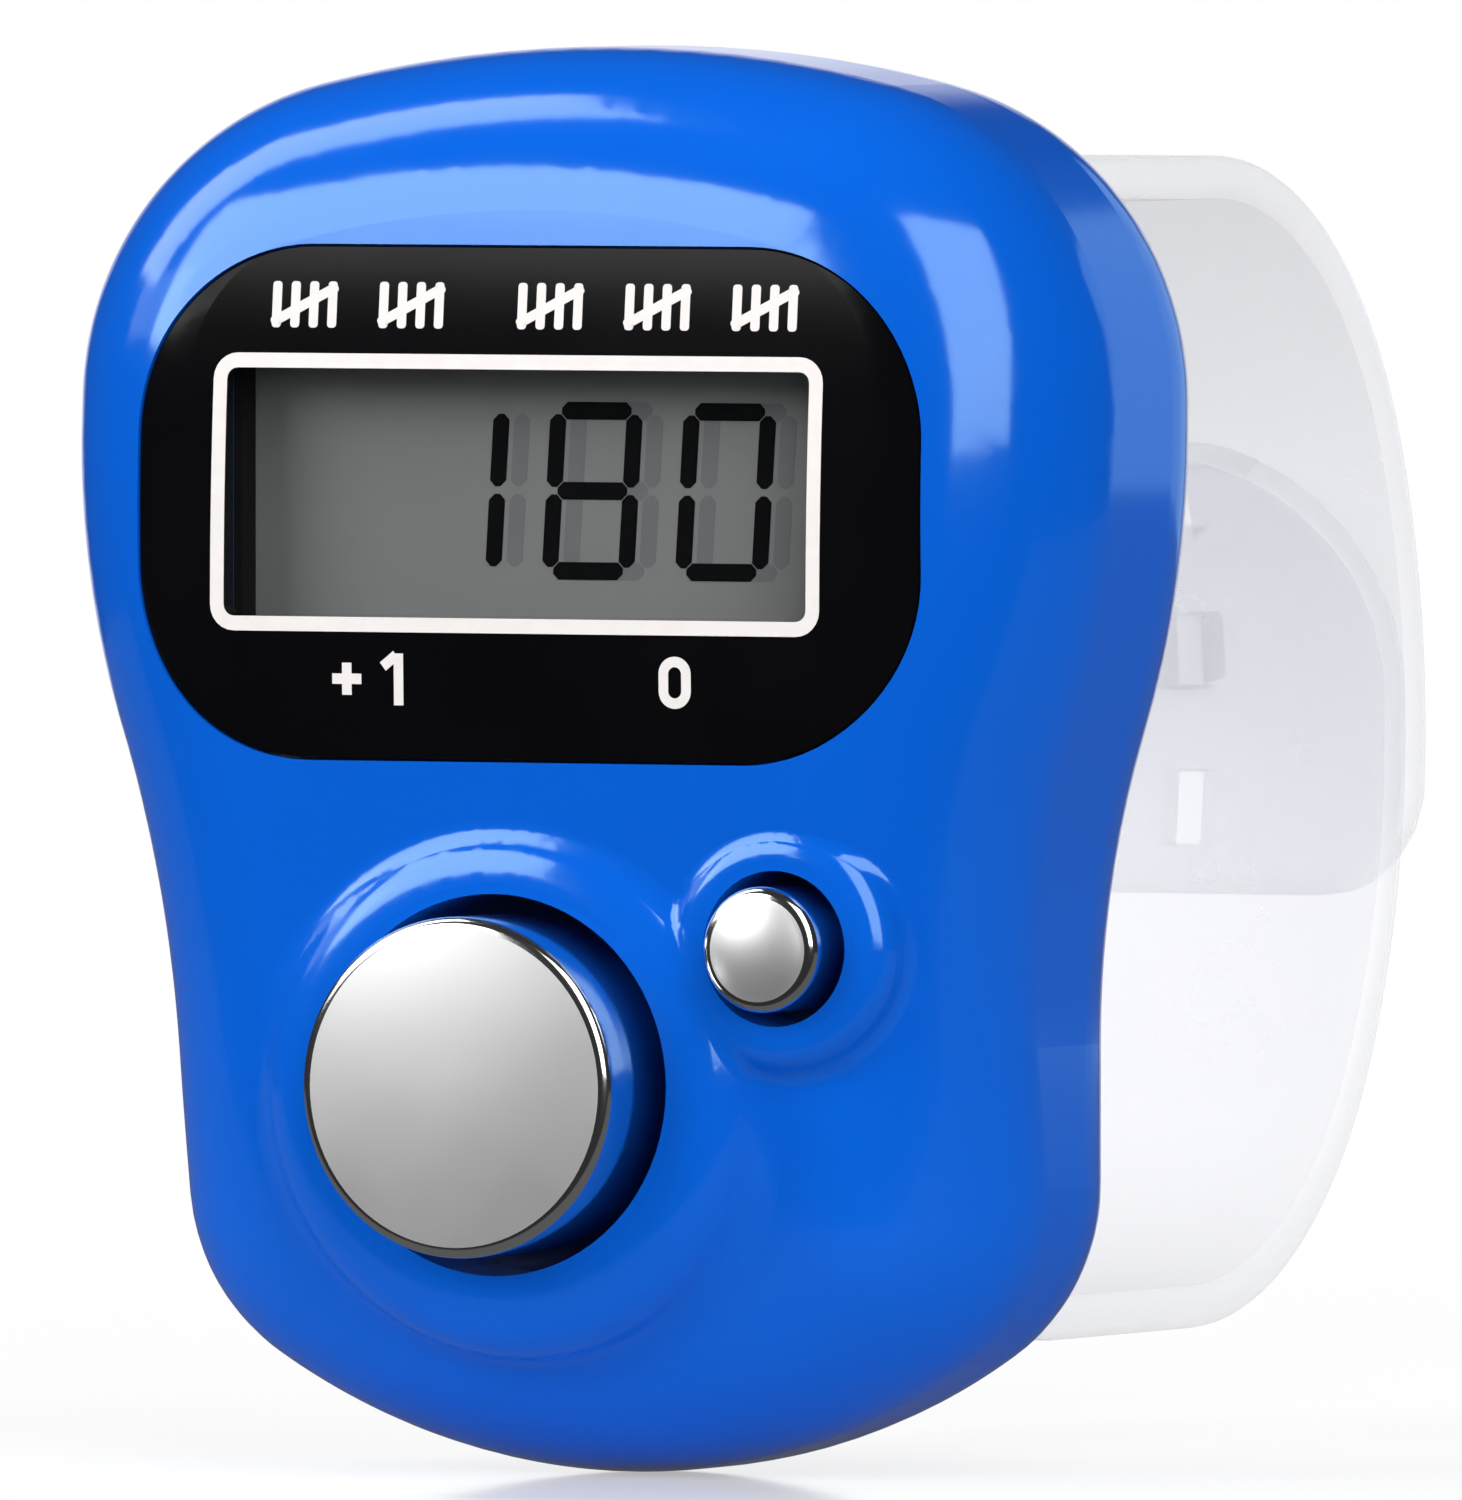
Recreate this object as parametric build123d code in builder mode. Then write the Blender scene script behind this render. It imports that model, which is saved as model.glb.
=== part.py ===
from build123d import *
from math import asin, atan2, cos, degrees, radians, sin, sqrt
import os

# Tally counter worn on a finger: a pillow-shaped two-piece case with a display
# panel, a large count button, a small reset button and a clear soft strap.
# The origin is the middle of the finger loop. The finger lies along X, the front
# of the case faces -Y and +Z is up. Levels are distances in front of the origin.

# Case
case_height = 38.6
case_width = 30.4
case_depth = 13.5
wall = 1.3
top_radius = 36.0
shoulder_radius = 8.8
flank_drop = 10.3
waist_draw = 2.6
waist_rise = 11.7
foot_radius = 5.8
base_spread = 5.4
rear_shell_depth = 5.0
front_edge_radius = 5.0
back_edge_radius = 4.7
crown_radius = 86.0
crown_z = 4.0
lip_height = 0.9
lip_thickness = 0.55
lip_clearance = 0.08

# Display panel and window
panel_side_gap = 3.5
panel_top_gap = 5.3
panel_base_z = 0.075
panel_corner = 5.2
panel_sink = 0.1
panel_thickness = 1.3
panel_clearance = 0.08
panel_seat_thickness = 0.8
panel_seat_margin = 0.9
window_x = -0.3
window_rise = 0.3
window_side_border = 2.9
window_end_border = 3.5625
window_corner = 0.35
window_sink = 0.04
lens_flange = 0.7
lens_flange_thickness = 0.45
lens_clearance = 0.05
seat_opening_margin = 0.25

# Liquid crystal display
glass_margin = 0.9
glass_thickness = 0.7
film_thickness = 0.15
film_inset = 0.3
glass_ledge = 1.8
display_gap = 0.1
holder_wall = 0.8
holder_corner = 0.6
holder_clearance = 0.1
holder_ledge = 0.7
zebra_width = 1.2
zebra_gap = 0.25
zebra_end_gap = 0.8

# Circuit board
board_thickness = 1.0
board_depth = 6.7
board_edge_gap = 0.4
board_notch_gap = 0.3
pad_thickness = 0.05
pad_split = 0.4

# Count button
count_side_gap = 5.2
count_panel_gap = 1.175
count_base_gap = 3.2
count_ring_width = 2.3
count_well_gap = 0.55
count_rise = 2.45
count_travel = 0.8
count_ring_height = 1.15
count_ring_blend = 1.2
count_dome_top_radius = 2.1
count_dome_land = 0.275
count_dome_flare = 1.4

# Reset button
reset_side_gap = 7.7
reset_panel_gap = 4.9
reset_radius = 1.7
reset_well_gap = 0.4
reset_ring_width = 1.2
reset_rise = 1.05
reset_travel = 0.6
reset_ring_height = 0.45
reset_ring_blend = 0.6
reset_dome_top_radius = 1.2
reset_dome_land = 0.8
reset_dome_flare = 0.9

# What both buttons share
well_spacing = 1.0
cap_bevel = 0.3
cap_crown = 0.3
cap_wall = 0.9
flange_reach = 0.6
flange_thickness = 0.9
flange_gap = 0.1
guide_clearance = 0.1
guide_wall = 0.6
guide_depth = 1.0
ring_lip = 0.3
dome_wall = 0.4
dome_skirt = 0.5
pill_thickness = 0.4
pill_edge_gap = 0.1
contact_gap = 0.05

# Power
cell_radius = 5.8
cell_drop = 1.4
cell_wall = 0.25
gasket_wall = 0.35
clip_thickness = 0.25
clip_width = 5.0
clip_gap = 0.05
leaf_thickness = 0.2
leaf_room = 1.1
leaf_width = 3.0
leaf_foot = 2.2
leaf_length = 7.2
leaf_tail = 1.2

# Parts soldered to the back of the board
chip_radius = 3.0
chip_height = 1.1
chip_x = -3.6
chip_rise = 2.0
capacitor_length = 2.0
capacitor_width = 1.25
capacitor_height = 1.1
capacitor_x = 3.6
capacitor_rise = 4.0
resistor_length = 1.6
resistor_width = 0.8
resistor_height = 0.45
resistor_pitch = 1.8
resistor_x = 3.6
resistor_rise = 0.4

# Screws
screw_radius = 0.85
screw_head_radius = 1.5
screw_head_height = 1.0
screw_sink = 0.9
cross_length = 1.9
cross_width = 0.4
cross_depth = 0.6
screw_bite = 4.0
screw_clearance = 0.1
thread_clearance = 0.02
screw_boss_radius = 2.1
top_screw_side_gap = 7.7
top_screw_drop = 4.3
base_screw_side_gap = 4.4
base_screw_rise = 6.1
board_screw_radius = 0.6
board_screw_head_radius = 1.1
board_screw_head_height = 0.6
board_screw_bite = 3.0
post_radius = 1.25
side_post_side_gap = 4.4
side_post_panel_gap = 1.6
base_post_side_gap = 8.0
base_post_rise = 5.7

# Finger strap and the two bridges that it is threaded under
strap_width = 14.0
strap_thickness = 1.2
strap_reach = 30.0
strap_gap = 0.15
strap_edge_radius = 0.3
strap_flat = 21.0
strap_leave_radius = 5.0
strap_leave_angle = 90.0
strap_corner_radius = 12.5
strap_rear_radius = 20.0
upper_tip_z = -4.6
upper_tip_corner = 3.0
lower_tip_z = 7.9
hole_width = 1.3
hole_length = 2.1
hole_pitch = 4.4
hole_count = 4
first_hole_z = 10.4
peg_hole_index = 2
peg_clearance = 0.1
peg_rise = 0.6
bridge_height = 5.0
bridge_end_gap = 0.3
bridge_thickness = 1.4
bridge_post = 1.5
bridge_edge_radius = 0.6

# Front view: the panel hangs from the top, the buttons stand between it and the base
top_z = case_height / 2
base_z = -case_height / 2
flank_top_z = top_z - flank_drop
waist_z = base_z + waist_rise
waist_width = case_width - 2 * waist_draw
base_radius = waist_width / 2 + base_spread
panel_width = case_width - 2 * panel_side_gap
panel_height = top_z - panel_top_gap - panel_base_z
panel_z = panel_base_z + panel_height / 2
window_width = panel_width - 2 * window_side_border
window_height = panel_height - 2 * window_end_border
window_z = panel_z + window_rise
# The ring of the count button takes the mean of the room across and the room upright
count_room_width = waist_width - 2 * count_side_gap
count_room_height = panel_base_z - count_panel_gap - base_z - count_base_gap
count_ring_radius = (count_room_width + count_room_height) / 4
count_well_radius = count_ring_radius - count_ring_width
count_radius = count_well_radius - count_well_gap
reset_well_radius = reset_radius + reset_well_gap
reset_ring_radius = reset_well_radius + reset_ring_width
reset_x = case_width / 2 - reset_side_gap
reset_z = panel_base_z - reset_panel_gap
count_x = reset_x - reset_well_radius - well_spacing - count_well_radius
count_z = panel_base_z - count_panel_gap - count_room_height / 2
# The stem of a button stands on the dome under it
count_stem_radius = count_dome_top_radius - count_dome_land
reset_stem_radius = reset_dome_top_radius - reset_dome_land
count_dome_radius = count_dome_top_radius + count_dome_flare
reset_dome_radius = reset_dome_top_radius + reset_dome_flare
cell_z = panel_z - cell_drop
chip_z = count_z + chip_rise
capacitor_z = count_z + capacitor_rise
resistor_z = count_z + resistor_rise
top_screw_x = case_width / 2 - top_screw_side_gap
top_screw_z = top_z - top_screw_drop
base_screw_x = waist_width / 2 - base_screw_side_gap
base_screw_z = base_z + base_screw_rise
side_post_x = case_width / 2 - side_post_side_gap
side_post_z = panel_base_z - side_post_panel_gap
base_post_x = waist_width / 2 - base_post_side_gap
base_post_z = base_z + base_post_rise

# Levels, counted forwards from the origin
back_level = strap_reach / 2
parting_level = back_level + rear_shell_depth
front_level = back_level + case_depth
crown_level = front_level - crown_radius
panel_back_level = front_level - panel_sink - panel_thickness
seat_back_level = panel_back_level - panel_seat_thickness
board_level = front_level - board_depth
board_back_level = board_level - board_thickness
pad_level = board_level + pad_thickness
polariser_level = seat_back_level - display_gap - film_thickness
front_glass_level = polariser_level - glass_thickness
rear_glass_level = front_glass_level - glass_thickness
reflector_level = rear_glass_level - film_thickness
clip_level = back_level + wall + clip_gap
cell_level = clip_level + clip_thickness + clip_gap
cell_top_level = board_back_level - leaf_room
cell_height = cell_top_level - cell_level
screw_head_level = back_level + screw_sink
bridge_depth = 2 * strap_gap + strap_thickness
bridge_z = strap_flat / 2 - bridge_end_gap - bridge_height / 2

# Display glass, front view
glass_width = window_width + 2 * glass_margin
rear_glass_height = window_height + 2 * glass_margin
front_glass_height = rear_glass_height + glass_ledge
front_glass_z = window_z - glass_ledge / 2
front_glass_base_z = front_glass_z - front_glass_height / 2

screw_places = [
    (-top_screw_x, top_screw_z),
    (top_screw_x, top_screw_z),
    (-base_screw_x, base_screw_z),
    (base_screw_x, base_screw_z),
]
post_places = [
    (-side_post_x, side_post_z),
    (side_post_x, side_post_z),
    (base_post_x, base_post_z),
]

os.makedirs("parts", exist_ok=True)


def front_plane(level):
    """A plane that faces the front, with X to the right and Z up."""
    return Plane.XZ.offset(level)


def axial_plane(x, z):
    """A plane through a front-facing axis: local X is radius, local Y is level."""
    return Plane(origin=(x, 0, z), x_dir=(1, 0, 0), z_dir=(0, 0, -1))


def front_axis(x, z):
    return Axis((x, 0, z), (0, -1, 0))


def front_height(z):
    """Level of the crowned front at a height, inside its rounded edge."""
    return crown_level + sqrt(crown_radius**2 - (z - crown_z) ** 2)


def save(piece, name):
    piece.part.label = name
    export_step(piece.part, f"parts/{name}.step")


def case_outline(inset):
    """Front view of the case: tangent arcs, drawn in by an inset."""
    top_turn = degrees(asin((case_width / 2 - shoulder_radius) / (top_radius - shoulder_radius)))
    base_turn = degrees(asin((waist_width / 2 - foot_radius) / (base_radius - foot_radius)))
    draw_in = (case_width - waist_width) / 2
    flank_length = flank_top_z - waist_z
    flank_radius = (draw_in**2 + flank_length**2) / (4 * draw_in)
    flank_turn = degrees(asin(flank_length / 2 / flank_radius))
    with BuildSketch() as outline:
        with BuildLine():
            top = JernArc((0, top_z), (1, 0), top_radius, -top_turn)
            shoulder = JernArc(top @ 1, top % 1, shoulder_radius, top_turn - 90)
            side = Line(shoulder @ 1, (case_width / 2, flank_top_z))
            flank = JernArc(side @ 1, (0, -1), flank_radius, -flank_turn)
            waist = JernArc(flank @ 1, flank % 1, flank_radius, flank_turn)
            base = JernArc((0, base_z), (1, 0), base_radius, base_turn)
            foot = JernArc(base @ 1, base % 1, foot_radius, 90 - base_turn)
            Line(waist @ 1, foot @ 1)
            mirror(about=Plane.YZ)
        make_face()
        if inset > 0:
            offset(amount=-inset, mode=Mode.REPLACE)
    return outline.sketch


def front_form(inset):
    """Crowned, round-edged front half of the case, drawn in by an inset."""
    with BuildPart() as form:
        with BuildSketch(front_plane(parting_level)):
            add(case_outline(inset))
        extrude(amount=case_depth)
        with Locations((0, -crown_level, crown_z)):
            Cylinder(crown_radius - inset, 2 * case_width, rotation=(0, 90, 0), mode=Mode.INTERSECT)
        front_face = form.faces().sort_by(Axis.Y)[0]
        fillet(front_face.edges(), front_edge_radius - inset)
    return form.part


def rear_form(inset):
    """Round-edged rear half of the case, drawn in by an inset."""
    with BuildPart() as form:
        with BuildSketch(front_plane(back_level + inset)):
            add(case_outline(inset))
        extrude(amount=rear_shell_depth - inset)
        back_face = form.faces().sort_by(Axis.Y)[-1]
        fillet(back_face.edges(), back_edge_radius - inset)
    return form.part


def outline_ring(outer_inset, inner_inset, level, height):
    """A band that follows the case outline between two insets."""
    with BuildPart() as ring:
        with BuildSketch(front_plane(level)):
            add(case_outline(outer_inset))
            add(case_outline(inner_inset), mode=Mode.SUBTRACT)
        extrude(amount=height)
    return ring.part


def plate(x, z, width, height, level, top_level):
    """A flat rectangular sheet between two levels."""
    with BuildPart() as sheet:
        with BuildSketch(front_plane(level)):
            with Locations((x, z)):
                Rectangle(width, height)
        extrude(amount=top_level - level)
    return sheet


outer_front = front_form(0)
outer_rear = rear_form(0)

# Button wells: the mouth is the top of the raised ring, the flange stops under it
count_mouth = front_height(count_z) + count_ring_height
reset_mouth = front_height(reset_z) + reset_ring_height
count_flange_level = front_height(count_z) - wall - guide_depth - flange_thickness
reset_flange_level = front_height(reset_z) - wall - guide_depth - flange_thickness
count_flange_radius = count_well_radius + flange_reach
reset_flange_radius = reset_well_radius + flange_reach


def well_ring(x, z, well_radius, ring_radius, mouth, ring_height):
    """Raised ring round a well: a narrow lip that rolls over to the case."""
    lip = well_radius + ring_lip
    roll = 1.6 * ring_height
    root = mouth - roll - wall
    with BuildPart() as ring:
        with BuildSketch(axial_plane(x, z)):
            with BuildLine():
                Line((0, mouth), (lip, mouth))
                EllipticalCenterArc((lip, mouth - roll), ring_radius - lip, roll, 0, arc_size=90)
                Polyline((ring_radius, mouth - roll), (ring_radius, root), (0, root), (0, mouth))
            make_face()
        revolve(axis=front_axis(x, z))
    return ring.part


# Inside of the front shell: panel seat, button guides and screw posts
with BuildPart() as front_ribs:
    with BuildSketch(front_plane(seat_back_level)):
        with Locations((0, panel_z)):
            RectangleRounded(
                panel_width + 2 * panel_seat_margin,
                panel_height + 2 * panel_seat_margin,
                panel_corner + panel_seat_margin,
            )
    extrude(amount=case_depth)
    with BuildSketch(front_plane(count_flange_level)):
        with Locations((count_x, count_z)):
            Circle(count_flange_radius + guide_clearance + guide_wall)
    extrude(amount=case_depth)
    with BuildSketch(front_plane(reset_flange_level)):
        with Locations((reset_x, reset_z)):
            Circle(reset_flange_radius + guide_clearance + guide_wall)
    extrude(amount=case_depth)
    with BuildSketch(front_plane(parting_level)):
        with Locations(*screw_places):
            Circle(screw_boss_radius)
    extrude(amount=case_depth)
    with BuildSketch(front_plane(board_level)):
        with Locations(*post_places):
            Circle(post_radius)
    extrude(amount=case_depth)
    add(front_form(wall / 2), mode=Mode.INTERSECT)

# Outside of the front shell: the rings are blended into the case
with BuildPart() as front_skin:
    add(outer_front)
    add(well_ring(count_x, count_z, count_well_radius, count_ring_radius, count_mouth, count_ring_height))
    fillet(front_skin.edges(Select.NEW), count_ring_blend)
    add(well_ring(reset_x, reset_z, reset_well_radius, reset_ring_radius, reset_mouth, reset_ring_height))
    fillet(front_skin.edges(Select.NEW), reset_ring_blend)

# Front shell
with BuildPart() as front_shell:
    add(front_skin.part)
    add(front_form(wall), mode=Mode.SUBTRACT)
    add(front_ribs.part)
    add(outline_ring(wall - lip_thickness, wall, parting_level - lip_height, lip_height + wall))
    # Wells and the wider bores that guide the flanges
    with BuildSketch(front_plane(parting_level)):
        with Locations((count_x, count_z)):
            Circle(count_well_radius)
        with Locations((reset_x, reset_z)):
            Circle(reset_well_radius)
    extrude(amount=2 * case_depth, mode=Mode.SUBTRACT)
    with BuildSketch(front_plane(parting_level)):
        with Locations((count_x, count_z)):
            Circle(count_flange_radius + guide_clearance)
    extrude(
        amount=count_flange_level + flange_thickness + flange_gap - parting_level,
        mode=Mode.SUBTRACT,
    )
    with BuildSketch(front_plane(parting_level)):
        with Locations((reset_x, reset_z)):
            Circle(reset_flange_radius + guide_clearance)
    extrude(
        amount=reset_flange_level + flange_thickness + flange_gap - parting_level,
        mode=Mode.SUBTRACT,
    )
    # Panel pocket, and the opening in its floor
    with BuildSketch(front_plane(panel_back_level)):
        with Locations((0, panel_z)):
            RectangleRounded(panel_width, panel_height, panel_corner)
    extrude(amount=case_depth, mode=Mode.SUBTRACT)
    with BuildSketch(front_plane(parting_level)):
        with Locations((window_x, window_z)):
            Rectangle(
                window_width + 2 * seat_opening_margin,
                window_height + 2 * seat_opening_margin,
            )
    extrude(amount=case_depth, mode=Mode.SUBTRACT)
    # Threaded holes for the case screws and the board screws
    with BuildSketch(front_plane(parting_level)):
        with Locations(*screw_places):
            Circle(screw_radius + thread_clearance)
    extrude(amount=screw_bite + screw_clearance, mode=Mode.SUBTRACT)
    with BuildSketch(front_plane(board_level)):
        with Locations(*post_places):
            Circle(board_screw_radius + thread_clearance)
    extrude(amount=board_screw_bite + screw_clearance, mode=Mode.SUBTRACT)
save(front_shell, "front_shell")

# Bridges across the back, with the slots that the strap passes through
with BuildPart() as bridge:
    slot_width = strap_width + 2 * strap_gap
    with BuildSketch(front_plane(back_level - bridge_depth - bridge_thickness)):
        with Locations((0, bridge_z), (0, -bridge_z)):
            Rectangle(slot_width + 2 * bridge_post, bridge_height)
    extrude(amount=bridge_depth + bridge_thickness + wall / 2)
    fillet(bridge.faces().group_by(Axis.Y)[-1].edges(), bridge_edge_radius)
    with BuildSketch(front_plane(back_level - bridge_depth)):
        Rectangle(slot_width, case_height)
    extrude(amount=bridge_depth, mode=Mode.SUBTRACT)

# Screw bosses inside the rear shell
with BuildPart() as rear_bosses:
    with BuildSketch(front_plane(back_level)):
        with Locations(*screw_places):
            Circle(screw_boss_radius)
    extrude(amount=rear_shell_depth)
    add(outer_rear, mode=Mode.INTERSECT)

# Rear shell
with BuildPart() as rear_shell:
    add(outer_rear)
    add(rear_form(wall), mode=Mode.SUBTRACT)
    add(rear_bosses.part)
    add(bridge.part)
    add(
        outline_ring(
            wall - lip_thickness - lip_clearance,
            wall + screw_boss_radius,
            parting_level - lip_height - lip_clearance,
            2 * lip_height,
        ),
        mode=Mode.SUBTRACT,
    )
    with BuildSketch(front_plane(back_level)):
        with Locations(*screw_places):
            Circle(screw_radius + screw_clearance)
    extrude(amount=case_depth, mode=Mode.SUBTRACT)
    with BuildSketch(front_plane(back_level)):
        with Locations(*screw_places):
            Circle(screw_head_radius + screw_clearance)
    extrude(amount=screw_sink + screw_head_height, mode=Mode.SUBTRACT)
save(rear_shell, "rear_shell")

# Display panel: follows the crown of the case, with the window opening
with BuildPart() as display_panel:
    with BuildSketch(front_plane(panel_back_level)):
        with Locations((0, panel_z)):
            RectangleRounded(
                panel_width - 2 * panel_clearance,
                panel_height - 2 * panel_clearance,
                panel_corner - panel_clearance,
            )
    extrude(amount=case_depth)
    add(front_form(panel_sink), mode=Mode.INTERSECT)
    with BuildSketch(front_plane(panel_back_level)):
        with Locations((window_x, window_z)):
            RectangleRounded(window_width, window_height, window_corner)
    extrude(amount=case_depth, mode=Mode.SUBTRACT)
    with BuildSketch(front_plane(panel_back_level)):
        with Locations((window_x, window_z)):
            Rectangle(window_width + 2 * lens_flange, window_height + 2 * lens_flange)
    extrude(amount=lens_flange_thickness + lens_clearance, mode=Mode.SUBTRACT)
save(display_panel, "display_panel")

# Window lens: fills the opening and is held by a flange behind the panel
with BuildPart() as window_lens:
    with BuildSketch(front_plane(panel_back_level)):
        with Locations((window_x, window_z)):
            RectangleRounded(
                window_width - 2 * lens_clearance,
                window_height - 2 * lens_clearance,
                window_corner - lens_clearance,
            )
    extrude(amount=case_depth)
    with BuildSketch(front_plane(panel_back_level)):
        with Locations((window_x, window_z)):
            Rectangle(
                window_width + 2 * lens_flange - 2 * lens_clearance,
                window_height + 2 * lens_flange - 2 * lens_clearance,
            )
    extrude(amount=lens_flange_thickness)
    add(front_form(panel_sink + window_sink), mode=Mode.INTERSECT)
save(window_lens, "window_lens")

# Display: polariser, two sheets of glass and a reflector
film_width = glass_width - 2 * film_inset
film_height = rear_glass_height - 2 * film_inset
front_polariser = plate(
    window_x, window_z, film_width, film_height, polariser_level, polariser_level + film_thickness
)
save(front_polariser, "front_polariser")
front_glass = plate(
    window_x, front_glass_z, glass_width, front_glass_height, front_glass_level, polariser_level
)
save(front_glass, "front_glass")
rear_glass = plate(
    window_x, window_z, glass_width, rear_glass_height, rear_glass_level, front_glass_level
)
save(rear_glass, "rear_glass")
reflector = plate(window_x, window_z, film_width, film_height, reflector_level, rear_glass_level)
save(reflector, "reflector")

# Display holder: a frame round the glass with a ledge under three of its sides
with BuildPart() as display_holder:
    pocket_width = glass_width + 2 * holder_clearance
    pocket_height = front_glass_height + 2 * holder_clearance
    ledge_top_z = window_z + rear_glass_height / 2 - holder_ledge
    ledge_base_z = front_glass_base_z
    with BuildSketch(front_plane(board_level)):
        with Locations((window_x, front_glass_z)):
            RectangleRounded(
                pocket_width + 2 * holder_wall, pocket_height + 2 * holder_wall, holder_corner
            )
    extrude(amount=seat_back_level - display_gap - board_level)
    with BuildSketch(front_plane(reflector_level)):
        with Locations((window_x, front_glass_z)):
            Rectangle(pocket_width, pocket_height)
    extrude(amount=case_depth, mode=Mode.SUBTRACT)
    with BuildSketch(front_plane(board_level)):
        with Locations((window_x, (ledge_top_z + ledge_base_z) / 2)):
            Rectangle(glass_width - 2 * holder_ledge, ledge_top_z - ledge_base_z)
    extrude(amount=case_depth, mode=Mode.SUBTRACT)
save(display_holder, "display_holder")

# Zebra connector: stands on the board under the free ledge of the front glass
zebra_connector = plate(
    window_x,
    front_glass_base_z + zebra_gap + zebra_width / 2,
    glass_width - 2 * holder_ledge - 2 * zebra_end_gap,
    zebra_width,
    board_level,
    front_glass_level,
)
save(zebra_connector, "zebra_connector")

# Circuit board: follows the case, notched round the screw bosses
with BuildPart() as circuit_board:
    with BuildSketch(front_plane(board_back_level)):
        add(case_outline(wall + board_edge_gap))
        with Locations(*screw_places):
            Circle(screw_boss_radius + board_notch_gap, mode=Mode.SUBTRACT)
        with Locations(*post_places):
            Circle(board_screw_radius + screw_clearance, mode=Mode.SUBTRACT)
    extrude(amount=board_thickness)
save(circuit_board, "circuit_board")


def button_cap(x, z, radius, stem_radius, flange_radius, flange_level, mouth, rise):
    """Cap with a crowned face, a retaining flange and a stem inside its core."""
    top = mouth + rise
    core_radius = radius - cap_wall
    core_level = top - cap_wall
    crown_reach = radius - cap_bevel
    sphere = (crown_reach**2 + cap_crown**2) / (2 * cap_crown)
    flange_top = flange_level + flange_thickness
    with BuildPart() as cap:
        with BuildSketch(axial_plane(x, z)):
            with BuildLine():
                Polyline(
                    (0, flange_level),
                    (stem_radius, flange_level),
                    (stem_radius, core_level),
                    (core_radius, core_level),
                    (core_radius, flange_level),
                    (flange_radius, flange_level),
                    (flange_radius, flange_top),
                    (radius, flange_top),
                    (radius, top - cap_bevel),
                    (crown_reach, top),
                )
                RadiusArc((crown_reach, top), (0, top + cap_crown), -sphere)
                Line((0, top + cap_crown), (0, flange_level))
            make_face()
        revolve(axis=front_axis(x, z))
    return cap


count_button = button_cap(
    count_x,
    count_z,
    count_radius,
    count_stem_radius,
    count_flange_radius,
    count_flange_level,
    count_mouth,
    count_rise,
)
save(count_button, "count_button")
reset_button = button_cap(
    reset_x,
    reset_z,
    reset_radius,
    reset_stem_radius,
    reset_flange_radius,
    reset_flange_level,
    reset_mouth,
    reset_rise,
)
save(reset_button, "reset_button")


def contact_pill(x, z, top_radius, travel):
    """Carbon disc that closes the contact at the end of the travel."""
    with BuildPart() as pill:
        with BuildSketch(front_plane(pad_level + travel + contact_gap)):
            with Locations((x, z)):
                Circle(top_radius - dome_wall - pill_edge_gap)
        extrude(amount=pill_thickness)
    return pill


def silicone_dome(x, z, radius, top_radius, travel, stem_level):
    """Hollow cone that carries the pill and pushes the button back."""
    ceiling = pad_level + travel + 2 * contact_gap + pill_thickness
    crown = stem_level - contact_gap
    with BuildPart() as dome:
        with BuildSketch(axial_plane(x, z)):
            with BuildLine():
                Polyline(
                    (0, ceiling),
                    (top_radius - dome_wall, ceiling),
                    (radius - dome_wall, board_level),
                    (radius + dome_skirt, board_level),
                    (radius + dome_skirt, board_level + dome_wall),
                    (radius, board_level + dome_wall),
                    (top_radius, ceiling + dome_wall),
                    (top_radius, crown),
                    (0, crown),
                    close=True,
                )
            make_face()
        revolve(axis=front_axis(x, z))
    return dome


count_dome = silicone_dome(
    count_x, count_z, count_dome_radius, count_dome_top_radius, count_travel, count_flange_level
)
save(count_dome, "count_dome")
reset_dome = silicone_dome(
    reset_x, reset_z, reset_dome_radius, reset_dome_top_radius, reset_travel, reset_flange_level
)
save(reset_dome, "reset_dome")
count_contact = contact_pill(count_x, count_z, count_dome_top_radius, count_travel)
save(count_contact, "count_contact")
reset_contact = contact_pill(reset_x, reset_z, reset_dome_top_radius, reset_travel)
save(reset_contact, "reset_contact")

# Contact pads: a split disc under each pill
with BuildPart() as contact_pads:
    with BuildSketch(front_plane(board_level)):
        with Locations((count_x, count_z)):
            Circle(count_dome_top_radius - dome_wall)
            Rectangle(pad_split, 2 * count_dome_top_radius, mode=Mode.SUBTRACT)
        with Locations((reset_x, reset_z)):
            Circle(reset_dome_top_radius - dome_wall)
            Rectangle(pad_split, 2 * reset_dome_top_radius, mode=Mode.SUBTRACT)
    extrude(amount=pad_thickness)
save(contact_pads, "contact_pads")

# Button cell: a can, a sealing gasket and the cap it is crimped over
seal_radius = cell_radius - cell_wall
cap_radius = seal_radius - gasket_wall
crimp_level = cell_top_level - cell_wall
with BuildPart() as cell_can:
    with BuildSketch(axial_plane(0, cell_z)):
        with BuildLine():
            Polyline(
                (0, cell_level),
                (cell_radius, cell_level),
                (cell_radius, crimp_level),
                (seal_radius, crimp_level),
                (seal_radius, cell_level + cell_wall),
                (0, cell_level + cell_wall),
                close=True,
            )
        make_face()
    revolve(axis=front_axis(0, cell_z))
save(cell_can, "cell_can")
with BuildPart() as cell_gasket:
    with BuildSketch(front_plane(cell_level + cell_wall)):
        with Locations((0, cell_z)):
            Circle(seal_radius)
            Circle(cap_radius, mode=Mode.SUBTRACT)
    extrude(amount=crimp_level - cell_level - cell_wall)
save(cell_gasket, "cell_gasket")
with BuildPart() as cell_cap:
    with BuildSketch(front_plane(cell_level + cell_wall)):
        with Locations((0, cell_z)):
            Circle(cap_radius)
    extrude(amount=cell_height - cell_wall)
save(cell_cap, "cell_cap")

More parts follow.
